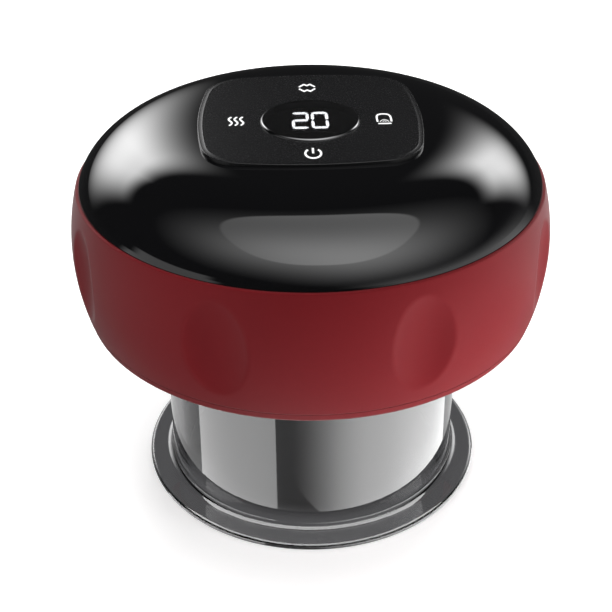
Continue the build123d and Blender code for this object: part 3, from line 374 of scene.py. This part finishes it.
def panel_arcs():
    """Centre, radius and angle of every point of the panel's outline, side by side and corner by corner."""
    corner_x, corner_y = PANEL_HALF_WIDTH - PANEL_BULGE, PANEL_HALF_DEPTH - PANEL_BULGE
    side_radius = (corner_y ** 2 + PANEL_BULGE ** 2) / (2 * PANEL_BULGE)
    front_radius = (corner_x ** 2 + PANEL_BULGE ** 2) / (2 * PANEL_BULGE)
    side_x, front_y = PANEL_HALF_WIDTH - side_radius, PANEL_HALF_DEPTH - front_radius
    near, far = side_radius - PANEL_CORNER, front_radius - PANEL_CORNER
    apart = math.hypot(side_x, front_y)
    along = (near ** 2 - far ** 2 + apart ** 2) / (2 * apart)
    away = math.sqrt(near ** 2 - along ** 2)
    step_x, step_y = -side_x / apart, front_y / apart
    corner = (side_x + step_x * along + away * abs(step_y), step_y * along + away * abs(step_x))
    first = math.atan2(corner[1], corner[0] - side_x)
    last = math.atan2(corner[1] - front_y, corner[0])
    quarter = []
    for k in range(PANEL_HALF_SIDE_STEPS):
        quarter.append((side_x, 0.0, side_radius, first * k / PANEL_HALF_SIDE_STEPS))
    for k in range(PANEL_CORNER_STEPS):
        quarter.append((*corner, PANEL_CORNER, first + (last - first) * k / PANEL_CORNER_STEPS))
    for k in range(PANEL_HALF_SIDE_STEPS):
        share = k / PANEL_HALF_SIDE_STEPS
        quarter.append((0.0, front_y, front_radius, last + (math.pi / 2 - last) * share))
    mirrored = [(-x, y, r, math.pi - a) for x, y, r, a in quarter[1:]][::-1]
    half = quarter + [(0.0, front_y, front_radius, math.pi / 2)] + mirrored
    return half + [(-x, -y, r, a + math.pi) for x, y, r, a in half]


def panel_loop(inset, z):
    """The panel's outline, drawn in by that inset, at that height."""
    return [(x + (radius - inset) * math.cos(a), PANEL_CENTRE_Y + y + (radius - inset) * math.sin(a), z)
            for x, y, radius, a in panel_arcs()]


def panel_hole(z):
    """The hole for the display, whose points lie in line with those of the panel's outline."""
    loop = []
    for x, y, _ in panel_loop(0, z):
        turn = math.atan2(y - DISPLAY_CENTRE_Y, x)
        across, along = PANEL_HOLE_RADIUS * math.cos(turn), PANEL_HOLE_RADIUS * math.sin(turn)
        loop.append((across, DISPLAY_CENTRE_Y + along, z))
    return loop


# The panel's edge as (inset from its outline, depth under its top): rounded side, border, ridge, face
PANEL_EDGE = ((0.0, 0.16), (0.02, 0.11), (0.06, 0.07), (0.11, 0.05), (0.15, 0.048), (0.81, 0.027), (0.86, 0.01),
              (0.9, 0.0), (0.94, 0.005), (0.99, 0.02), (1.04, 0.02), (1.3, 0.02))
panel_loops = [panel_loop(0.0, PANEL_BOTTOM)]
panel_loops += [panel_loop(inset, PANEL_TOP - depth) for inset, depth in PANEL_EDGE]
panel_loops += [panel_hole(PANEL_FACE), panel_hole(PANEL_BOTTOM)]
skin(loops_piece("panel_plate", panel_loops), "panel_black", "housing", "control_panel")

# The bezel: a slim polished ring round the display window
BEZEL_STEPS = 256
BEZEL_PATH = ((9.1, 74.3), (9.1, 74.58), (9.06, 74.7), (8.97, 74.82), (8.86, 74.91), (8.75, 74.95), (8.63, 74.95),
              (8.63, 74.3))
bezel_loops = [[(x, y + DISPLAY_CENTRE_Y, z) for x, y, z in loop] for loop in turned_loops(BEZEL_PATH, BEZEL_STEPS)]
skin(loops_piece("bezel_ring", bezel_loops), "bezel_chrome", "housing", "display_bezel")

# The dome: from the panel's outline over its round shoulder to the lip, and its inner side
DOME_RADIUS, DOME_TOP, LIP_HEIGHT, SEAT_HEIGHT = 43.1, 74.1, 63.7, 61.7
DOME_FLATNESS, DOME_ROUNDNESS, DOME_RINGS, DOME_RING_BIAS = 5.5, 0.71, 64, 1.25
DOME_INNER_RADIUS, DOME_INNER_TOP, DOME_INNER_RINGS = 40.5, 71.9, 16


def dome_rings(radius, top, bottom, rings):
    """Rings over the dome's form from the panel's outline out to its rim."""
    loops = []
    outline = panel_loop(0, 0)
    starts = [math.asin(min(1.0, math.hypot(x, y) / radius) ** (DOME_FLATNESS / 2)) for x, y, _ in outline]
    for ring in range(rings + 1):
        share = (ring / rings) ** DOME_RING_BIAS
        loop = []
        for (x, y, _), start in zip(outline, starts):
            turn = start + (math.pi / 2 - start) * share
            r = radius * math.sin(turn) ** (2 / DOME_FLATNESS)
            z = bottom + (top - bottom) * max(0.0, math.cos(turn)) ** (2 * DOME_ROUNDNESS)
            scale = r / math.hypot(x, y)
            loop.append((x * scale, y * scale, z))
        loops.append(loop)
    return loops


dome_loops = dome_rings(DOME_RADIUS, DOME_TOP, LIP_HEIGHT, DOME_RINGS)
dome_loops.append([(x, y, SEAT_HEIGHT) for x, y, _ in dome_loops[-1]])
dome_inner = dome_rings(DOME_INNER_RADIUS, DOME_INNER_TOP, LIP_HEIGHT, DOME_INNER_RINGS)
dome_loops.append([(x, y, SEAT_HEIGHT) for x, y, _ in dome_inner[-1]])
dome_loops += dome_inner[::-1]
skin(loops_piece("dome_cover", dome_loops), "dome_black", "housing", "top_cover")

# The red body: one arc from the parting line to the lip, with soft finger dimples and a charging slot
BODY_STEPS, BODY_RINGS = 720, 96
BODY_BOTTOM, BODY_WIDEST, BODY_LIP = (43.3, 38.3), (45.4, 51.0), (43.6, 63.7)
PART_LINE, BODY_WALL, BODY_WALL_LEVELS = 40.0, 3.0, (60.0, 56.0, 51.0, 46.0, 42.0)
BODY_RING_MARGIN, DIMPLE_MARGIN, EDGE_ROUND, OUTER_TOLERANCE = 0.5, 0.4, 0.3, 0.01
DOME_GAP, SEAT_WIDTH = 0.02, 3.1
DIMPLE_COUNT, DIMPLE_HALF_WIDTH, DIMPLE_HALF_HEIGHT = 8, 5.9, 9.0
DIMPLE_DEPTH, DIMPLE_HEIGHT, DIMPLE_SOFTNESS, DIMPLE_BLEND_LIMIT = 2.0, 52.2, 0.04, 30.0


def circle_through(a, b, c):
    """Centre and radius of the circle through three points of the (r, z) plane."""
    (ax, ay), (bx, by), (cx, cy) = a, b, c
    twice = 2 * (ax * (by - cy) + bx * (cy - ay) + cx * (ay - by))
    aa, bb, cc = ax ** 2 + ay ** 2, bx ** 2 + by ** 2, cx ** 2 + cy ** 2
    x = (aa * (by - cy) + bb * (cy - ay) + cc * (ay - by)) / twice
    y = (aa * (cx - bx) + bb * (ax - cx) + cc * (bx - ax)) / twice
    return (x, y), math.hypot(ax - x, ay - y)


body_centre, body_radius = circle_through(BODY_BOTTOM, BODY_WIDEST, BODY_LIP)


def body_reach(z):
    """The outer radius of the plain body at that height."""
    return body_centre[0] + math.sqrt(body_radius ** 2 - (z - body_centre[1]) ** 2)


def dimple(r, turn, z):
    """How far the finger dimples draw the body in at that place."""
    pitch = 2 * math.pi / DIMPLE_COUNT
    across = r * ((turn % pitch) - pitch / 2) / DIMPLE_HALF_WIDTH
    along = (z - DIMPLE_HEIGHT) / DIMPLE_HALF_HEIGHT
    inside = (1 - across ** 2 - along ** 2) / DIMPLE_SOFTNESS
    if abs(inside) < DIMPLE_BLEND_LIMIT:
        inside = math.log1p(math.exp(inside))
    return DIMPLE_DEPTH * DIMPLE_SOFTNESS * max(0.0, inside)


def body_loops():
    """The body's outline turned about the Z axis, with the dimples carved into its outer side."""
    low, high = PART_LINE, BODY_LIP[1]
    ringed = high - low - 2 * BODY_RING_MARGIN
    heights = [low + BODY_RING_MARGIN + ringed * k / BODY_RINGS for k in range(BODY_RINGS + 1)]
    outer = [(body_reach(low), low, EDGE_ROUND)]
    outer += [(body_reach(z), z) for z in heights]
    outer += [(BODY_LIP[0], high, EDGE_ROUND), (DOME_RADIUS + DOME_GAP, high), (DOME_RADIUS + DOME_GAP, SEAT_HEIGHT),
              (DOME_RADIUS - SEAT_WIDTH, SEAT_HEIGHT)]
    inner = [(body_reach(z) - BODY_WALL, z) for z in BODY_WALL_LEVELS]
    path = rounded(outer + inner + [(body_reach(low) - BODY_WALL, low)])
    turns = [2 * math.pi * k / BODY_STEPS for k in range(BODY_STEPS)]
    loops = []
    for r, z in path:
        carved = low + DIMPLE_MARGIN < z < high - DIMPLE_MARGIN and r > body_reach(z) - OUTER_TOLERANCE
        loop = []
        for t in turns:
            reach = r - dimple(r, t, z) if carved else r
            loop.append((reach * math.sin(t), -reach * math.cos(t), z))
        loops.append(loop)
    return loops


USB_HALF_WIDTH, USB_HALF_HEIGHT, USB_ROUND, USB_ROUND_STEPS = 4.8, 2.0, 1.85, 10
SLOT_START, SLOT_END = 39.0, 47.0
BOSS_COUNT, BOSS_FIRST_TURN, BOSS_SIDES = 4, 45, 24
BOSS_REACH, BOSS_RADIUS, BOSS_BOTTOM, BOSS_TOP, BOSS_RIB_BOTTOM = 34.8, 3.0, 40.3, 46.8, 43.3
BOSS_RIB_END, BOSS_RIB_HALF, PILOT_RADIUS, PILOT_BOTTOM, PILOT_TOP = 43.0, 0.8, 1.1, 39.3, 45.8


def usb_outline(y):
    """The charging slot's outline at that depth, centred on the socket inside."""
    low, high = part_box("usb_socket")
    middle = (low.z + high.z) / 2 / MM
    corner_x, corner_z = USB_HALF_WIDTH - USB_ROUND, USB_HALF_HEIGHT - USB_ROUND
    outline = []
    for quarter, (sx, sz) in enumerate(((1, 1), (-1, 1), (-1, -1), (1, -1))):
        centre = (sx * corner_x, middle + sz * corner_z)
        corner = arc(centre, USB_ROUND, quarter * 90, quarter * 90 + 90, USB_ROUND_STEPS)
        outline += [(x, y, z) for x, z in corner]
    return outline


def boss_circle(radius):
    """A circle about the first boss, before it is turned to its place."""
    return arc((BOSS_REACH, 0), radius, 0, 360 - 360 / BOSS_SIDES, BOSS_SIDES - 1)


def make_body_skin():
    """The red body with its charging slot, and the ribs, bosses and pilot holes for the base screws inside it."""
    body = loops_piece("body_skin", body_loops())
    combine(body, prism_piece("slot", usb_outline(SLOT_START), usb_outline(SLOT_END)), "DIFFERENCE")
    rib = [(BOSS_REACH, -BOSS_RIB_HALF), (BOSS_RIB_END, -BOSS_RIB_HALF), (BOSS_RIB_END, BOSS_RIB_HALF),
           (BOSS_REACH, BOSS_RIB_HALF)]
    steps = (("boss", rib, BOSS_RIB_BOTTOM, BOSS_TOP, "UNION"),
             ("boss", boss_circle(BOSS_RADIUS), BOSS_BOTTOM, BOSS_TOP, "UNION"),
             ("pilot", boss_circle(PILOT_RADIUS), PILOT_BOTTOM, PILOT_TOP, "DIFFERENCE"))
    for place in range(BOSS_COUNT):
        turn = Matrix.Rotation(math.radians(BOSS_FIRST_TURN + place * 360 / BOSS_COUNT), 3, "Z")
        for name, flat, low, high, operation in steps:
            ends = [[turn @ Vector((x, y, z)) for x, y in flat] for z in (low, high)]
            combine(body, prism_piece(name, *ends), operation)
    skin(body, "red_soft", "housing", "body_shell")


make_body_skin()


# The icons of heat and of the suction cup, drawn from strokes
ICON_STRETCH = 1.55
WAVE = ((0.17, 1.24), (-0.31, 0.58), (0.31, -0.50), (-0.16, -1.24))
WAVE_PLACES, WAVE_WIDTH = (-1.04, 0.0, 1.04), 0.35
ARCH = ((-1.27, -0.86), (-1.27, 0.44), (-1.06, 1.06), (-0.50, 1.36), (0.50, 1.36), (1.06, 1.06), (1.27, 0.44),
        (1.27, -0.86))
FOOT_LINE = ((-1.20, -1.40), (1.20, -1.40))
RIPPLE = ((-0.80, -0.84), (-0.42, -0.42), (0.0, -0.28), (0.42, -0.42), (0.80, -0.84))
FINE_RIPPLE = ((-0.34, -0.84), (0.0, -0.62), (0.34, -0.84))
ARCH_WIDTH, FOOT_WIDTH, RIPPLE_WIDTH, FINE_WIDTH = 0.36, 0.34, 0.15, 0.12


def smooth_line(corners, steps=8):
    """Points of a smooth line through all the corners."""
    ends = [corners[0], *corners, corners[-1]]
    points = []
    for a, b, c, d in zip(ends, ends[1:], ends[2:], ends[3:]):
        for k in range(steps):
            t = k / steps
            points.append(tuple((2 * q + (r - p) * t + (2 * p - 5 * q + 4 * r - v) * t ** 2
                                 + (3 * q - p - 3 * r + v) * t ** 3) / 2 for p, q, r, v in zip(a, b, c, d)))
    return points + [corners[-1]]


def icon_piece(name, node, lines):
    """An icon of strokes, each (points from the node's middle, width), in the place of that CAD icon."""
    low, high = (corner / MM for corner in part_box(node))
    middle = (low + high) / 2
    icon = None
    for points, width in lines:
        left, right = [], []
        for k, point in enumerate(points):
            along = (Vector(points[min(k + 1, len(points) - 1)]) - Vector(points[max(k - 1, 0)])).normalized()
            side = Vector((-along.y, along.x)) * width / 2
            left.append(Vector(point) + side)
            right.append(Vector(point) - side)
        outline = [(middle.x + x, middle.y + y * ICON_STRETCH) for x, y in left + right[::-1]]
        stroke = prism_piece(name, *[[(x, y, z) for x, y in outline] for z in (low.z, high.z)])
        if icon:
            combine(icon, stroke, "UNION")
        else:
            icon = stroke
    skin(icon, "icon_white", "housing", node)


icon_piece("heat_waves", "icon_heat", [(smooth_line([(x + shift, y) for x, y in WAVE]), WAVE_WIDTH)
                                       for shift in WAVE_PLACES])
icon_piece("cup_mark", "icon_cup", [(smooth_line(ARCH), ARCH_WIDTH), (FOOT_LINE, FOOT_WIDTH),
                                    (smooth_line(RIPPLE), RIPPLE_WIDTH), (smooth_line(FINE_RIPPLE), FINE_WIDTH)])


def make_return_spring():
    """The release valve's spring: a copy of its CAD node, fixed to the housing."""
    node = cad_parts["valve_spring"]
    spring = bpy.data.objects.new("return_spring", node.data.copy())
    bpy.context.scene.collection.objects.link(spring)
    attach(spring, "housing")
    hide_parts("valve_spring")
    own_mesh(spring)


make_return_spring()


# ---------------------------------------------------------------- studio
CUP_RADIUS = 29.4 * MM
FLANGE_RADIUS = 34.4 * MM
MOUTH_RADIUS = 29.2 * MM
FLOOR_HALF, FLOOR_GLOW, FAR_FLOOR_GLOW, FLOOR_GREY = 3.0, 0.55, 0.95, 0.8
TABLE_HEIGHT, TABLE_GAP, TABLE_REACH, TABLE_STEPS = 0.3 * MM, 0.3 * MM, 30.0, 96
LEFT_CARD_BACK, LEFT_CARD_FRONT, RIGHT_CARD_BACK, CARD_EDGE = -51.0, -15.2, 66.0, 0.5 * MM
RIGHT_CARD_GLOW, FAR_LEFT_GLOW, FAR_RIGHT_GLOW, DARK_TABLE = 6.5, 0.95, 1.2, 0.03
RIM_CARD_OUTER, RIM_CARD_INNER, RIM_CARD_HEIGHT = 75 * MM, 36 * MM, 38 * MM
RIM_CARD_HALF_ANGLE, RIM_CARD_STEPS, RIM_CARD_GLOW = 80, 32, 10.0
LEFT_BOX_GLOW, LEFT_BOX_MIDDLE, LEFT_BOX_BOW = 7.3, -150, 0.13
RIGHT_BOX_GLOW, RIGHT_BOX_MIDDLE, RIGHT_BOX_TILT = 7.6, 135, 0.35
ROOF_CENTRE, ROOF_HALF_SIZE, ROOF_SQUARENESS, ROOF_LOWEST = (0.045, -0.085), (0.46, 0.53), 2.3, 0.3
LOW_RIGHT_GLOW, DARK_ROOM, DIFFUSE_FILL = 1.15, 0.02, 0.19
LIGHT_AIM_HEIGHT = 45 * MM


def flat_piece(name, rings):
    """A stage plane from closed rings of points: one face, or a face with a hole between two rings."""
    made = bmesh.new()
    loops = [[made.verts.new(point) for point in ring] for ring in rings]
    if len(loops) == 1:
        made.faces.new(loops[0])
    else:
        count = len(loops[0])
        for k in range(count):
            after = (k + 1) % count
            made.faces.new((loops[0][k], loops[1][k], loops[1][after], loops[0][after]))
    made.normal_update()
    piece = object_from(made, name)
    return piece


def make_floor():
    """A plain pale floor. It is white to the camera where it is lit, and keeps the object's shadow; inside the cup's
    mouth its glow is cut off as painted shade, with a painted pool of light at the front.
    """
    corners = [(x * FLOOR_HALF, y * FLOOR_HALF, 0) for x, y in ((-1, -1), (1, -1), (1, 1), (-1, 1))]
    floor = flat_piece("floor", [corners])
    material = bpy.data.materials.new("floor_pale")
    tree = Tree(material)
    point = tree.node("ShaderNodeTexCoord").outputs["Object"]
    away = tree.node("ShaderNodeVectorMath", {0: point}, operation="LENGTH").outputs["Value"]
    depth = tree.node("ShaderNodeSeparateXYZ", {0: point}).outputs["Y"]
    rays = tree.node("ShaderNodeLightPath").outputs
    seen = tree.math("MAXIMUM", rays["Is Camera Ray"], rays["Is Transmission Ray"])
    seen = tree.math("MAXIMUM", seen, rays["Is Glossy Ray"])
    # Painted shade: the floor's glow is cut off inside the cup's mouth, under the device; a painted pool of light
    # keeps the front of that inner floor glowing
    painted_inner_light = tree.product(tree.ramp(away, 19 * MM, 26 * MM), tree.ramp(depth, 0, -10 * MM))
    painted_shade_mask = tree.math("MAXIMUM", tree.ramp(away, MOUTH_RADIUS - 2 * MM, MOUTH_RADIUS), painted_inner_light)
    level = tree.ramp(away, 0.15, 0.6, FLOOR_GLOW, FAR_FLOOR_GLOW)
    glow = tree.node("ShaderNodeEmission", {"Strength": tree.product(seen, painted_shade_mask, level)})
    plain = tree.node("ShaderNodeBsdfDiffuse", {"Color": colour(FLOOR_GREY, FLOOR_GREY, FLOOR_GREY)})
    both = tree.node("ShaderNodeAddShader", {0: glow.outputs[0], 1: plain.outputs[0]})
    tree.node("ShaderNodeOutputMaterial", {"Surface": both.outputs[0]})
    floor.data.materials.append(material)


def half_plane(tree, x, y, along, through, soft):
    """1 to the left of a line that runs along a direction through a point, 0 to its right."""
    turn = math.radians(along)
    direction = (math.sin(turn), -math.cos(turn))
    normal = (-direction[1], direction[0])
    offset = normal[0] * through[0] + normal[1] * through[1]
    side = tree.math("SUBTRACT", tree.total(tree.product(x, normal[0]), tree.product(y, normal[1])), offset)
    return tree.ramp(side, -soft / 2, soft / 2)


def around(tree, x, y):
    """The azimuth of a direction or place, in degrees from the front, to the right."""
    return tree.product(tree.math("ARCTAN2", x, tree.product(y, -1.0)), 180 / math.pi)


def wall_point(angle):
    """The point of the cup's wall at that angle from the front."""
    turn = math.radians(angle)
    return CUP_RADIUS * math.sin(turn), -CUP_RADIUS * math.cos(turn)


def reflected_card(name, rings):
    """A stage plane that only reflections show; returns the tree of its new material."""
    card = flat_piece(name, rings)
    card.visible_camera = card.visible_diffuse = card.visible_transmission = card.visible_shadow = False
    material = bpy.data.materials.new(name)
    card.data.materials.append(material)
    return Tree(material)


def glow_with(tree, strength):
    """Ends a card's tree in a white glow of that strength."""
    glow = tree.node("ShaderNodeEmission", {"Strength": strength})
    tree.node("ShaderNodeOutputMaterial", {"Surface": glow.outputs[0]})


def make_table_cards():
    """The dark table that the gloss sees round the object, with a lit card on each side."""
    turns = [2 * math.pi * k / TABLE_STEPS for k in range(TABLE_STEPS)]
    tree = reflected_card("table_cards", [[(reach * math.cos(t), reach * math.sin(t), TABLE_HEIGHT) for t in turns]
                                          for reach in (FLANGE_RADIUS + TABLE_GAP, TABLE_REACH)])
    point = tree.node("ShaderNodeTexCoord").outputs["Object"]
    parts = tree.node("ShaderNodeSeparateXYZ", {0: point}).outputs
    x, y = parts["X"], parts["Y"]
    turn = around(tree, x, tree.math("ADD", y, CUP_RADIUS / 2))
    away = tree.node("ShaderNodeVectorMath", {0: point}, operation="LENGTH").outputs["Value"]

    def left_of(angle):
        """1 to the left of the card edge that the cup's wall mirrors at that angle, 0 to its right."""
        return half_plane(tree, x, y, angle * 2, wall_point(angle), CARD_EDGE)

    # The near cards fade out 70 to 90 mm from the axis, and the far ones fade in from there to 120 mm
    near = tree.ramp(away, 90 * MM, 70 * MM)
    left = tree.product(left_of(LEFT_CARD_BACK), tree.math("SUBTRACT", 1.0, left_of(LEFT_CARD_FRONT)),
                        tree.ramp(turn, -100, -40, 3.35, 4.45), near)
    right = tree.product(tree.ramp(turn, -20, 44), tree.ramp(turn, 64, 130, 1.0, 0.27), near,
                         tree.math("SUBTRACT", 1.0, left_of(RIGHT_CARD_BACK)), RIGHT_CARD_GLOW)
    far = tree.ramp(away, 90 * MM, 120 * MM)
    far_left = tree.product(far, tree.ramp(turn, -98, -90), tree.ramp(turn, -40, -48), FAR_LEFT_GLOW)
    far_right = tree.product(far, tree.ramp(turn, 15, 45), tree.ramp(turn, 125, 95), FAR_RIGHT_GLOW)
    front = tree.product(tree.ramp(turn, -40, -20), tree.ramp(turn, 25, 5))
    table = tree.product(near, tree.ramp(front, 0, 1, 0.8, 0.5))
    glow_with(tree, tree.total(left, right, far_left, far_right, table, DARK_TABLE))


def make_rim_card():
    """A low card over the front of the flange, lit on its underside, for the bright line round the cup's foot."""
    turns = [math.radians(RIM_CARD_HALF_ANGLE * (2 * k / RIM_CARD_STEPS - 1)) for k in range(RIM_CARD_STEPS + 1)]
    outer, inner = [[(reach * math.sin(t), -reach * math.cos(t), RIM_CARD_HEIGHT) for t in turns]
                    for reach in (RIM_CARD_OUTER, RIM_CARD_INNER)]
    tree = reflected_card("rim_card", [outer + inner[::-1]])
    underside = tree.node("ShaderNodeNewGeometry").outputs["Backfacing"]
    glow_with(tree, tree.product(underside, RIM_CARD_GLOW))


def make_world():
    """White to the camera, a plain even light on the object, and soft boxes in a dark room for its gloss."""
    world = bpy.data.worlds.new("studio")
    bpy.context.scene.world = world
    tree = Tree(world)
    parts = tree.node("ShaderNodeSeparateXYZ", {0: tree.node("ShaderNodeTexCoord").outputs["Generated"]}).outputs
    x, y, z = parts["X"], parts["Y"], parts["Z"]
    turn = around(tree, x, y)
    rise = tree.product(tree.math("ARCSINE", z), 180 / math.pi)

    def lobe(azimuth, elevation, spread, light):
        """A wide soft light round one direction."""
        a, e = math.radians(azimuth), math.radians(elevation)
        axis = (math.sin(a) * math.cos(e), -math.cos(a) * math.cos(e), math.sin(e))
        near = tree.total(tree.product(x, axis[0]), tree.product(y, axis[1]), tree.product(z, axis[2]), -1.0)
        return tree.product(tree.math("EXPONENT", tree.product(near, spread)), light)

    # Each soft box is the product of its two sides, its lower and upper edge, and its light
    beside = tree.math("ABSOLUTE", tree.math("ADD", turn, -LEFT_BOX_MIDDLE))
    bowed = tree.total(rise, tree.product(beside, LEFT_BOX_BOW))
    left_box = tree.product(tree.ramp(turn, -176, -158), tree.ramp(turn, -121, -150),
                            tree.ramp(rise, -4, 26), tree.ramp(bowed, 39, 31), LEFT_BOX_GLOW)
    tilted = tree.total(rise, tree.product(turn, -RIGHT_BOX_TILT), RIGHT_BOX_TILT * RIGHT_BOX_MIDDLE)
    right_box = tree.product(tree.ramp(turn, 116, 142), tree.ramp(turn, 168, 149),
                             tree.ramp(tilted, 2, 25), tree.ramp(rise, 40, 30), RIGHT_BOX_GLOW)
    # The roof is a rounded rectangle overhead that brightens to the right, the front and the back
    reaches = []
    for axis, centre, half_size in zip((x, y), ROOF_CENTRE, ROOF_HALF_SIZE):
        reach = tree.product(tree.math("ADD", axis, -centre), 1 / half_size)
        reaches.append(tree.math("POWER", tree.math("ABSOLUTE", reach), ROOF_SQUARENESS))
    behind = tree.math("ADD", y, 0.08)
    roof = tree.product(tree.ramp(tree.total(*reaches), 1.05, 0.95), tree.math("GREATER_THAN", z, ROOF_LOWEST),
                        tree.total(0.65, tree.product(x, 0.4), tree.product(behind, behind, 4.0)))
    halo = tree.math("MAXIMUM", 0.0, tree.total(lobe(39, 59, 6.7, 3.3), lobe(-47, 69, 10, 1.9), -0.18))
    standing = tree.product(tree.ramp(turn, -92, -84), tree.ramp(turn, -44, -52), tree.ramp(rise, 12, 10))
    low_right = tree.product(tree.ramp(turn, 5, 40), tree.ramp(turn, 125, 85), tree.ramp(rise, 19, -4),
                             LOW_RIGHT_GLOW)
    soft_boxes = tree.total(left_box, right_box, roof, halo, standing, low_right, DARK_ROOM)
    rays = tree.node("ShaderNodeLightPath").outputs
    seen = tree.math("MAXIMUM", rays["Is Camera Ray"], rays["Is Transmission Ray"])
    level = tree.mix(seen, tree.mix(rays["Is Glossy Ray"], DIFFUSE_FILL, soft_boxes), 1.0)
    back = tree.node("ShaderNodeBackground", {"Color": colour(1, 1, 1), "Strength": level})
    tree.node("ShaderNodeOutputWorld", {"Surface": back.outputs[0]})


def make_light(name, place, size, watts):
    """A soft area light that looks at the object and isn't seen in its gloss."""
    data = bpy.data.lights.new(name, "AREA")
    data.shape = "DISK"
    data.size = size
    data.energy = watts
    light = bpy.data.objects.new(name, data)
    light.location = place
    light.rotation_mode = "QUATERNION"
    light.rotation_quaternion = (Vector((0, 0, LIGHT_AIM_HEIGHT)) - light.location).to_track_quat("-Z", "Y")
    light.visible_glossy = False
    light.visible_camera = False
    light.visible_transmission = False
    bpy.context.scene.collection.objects.link(light)


make_floor()
make_table_cards()
make_rim_card()
make_world()
make_light("overhead", (0, 0.1, 0.9), 0.6, 6.0)
make_light("right_fill", (0.093, -0.079, 0.008), 0.04, 0.215)
make_light("back_fill", (0.1, 0.6, 0.15), 0.4, 3.5)
make_light("left_fill", (-0.08, -0.13, 0.055), 0.08, 0.068)
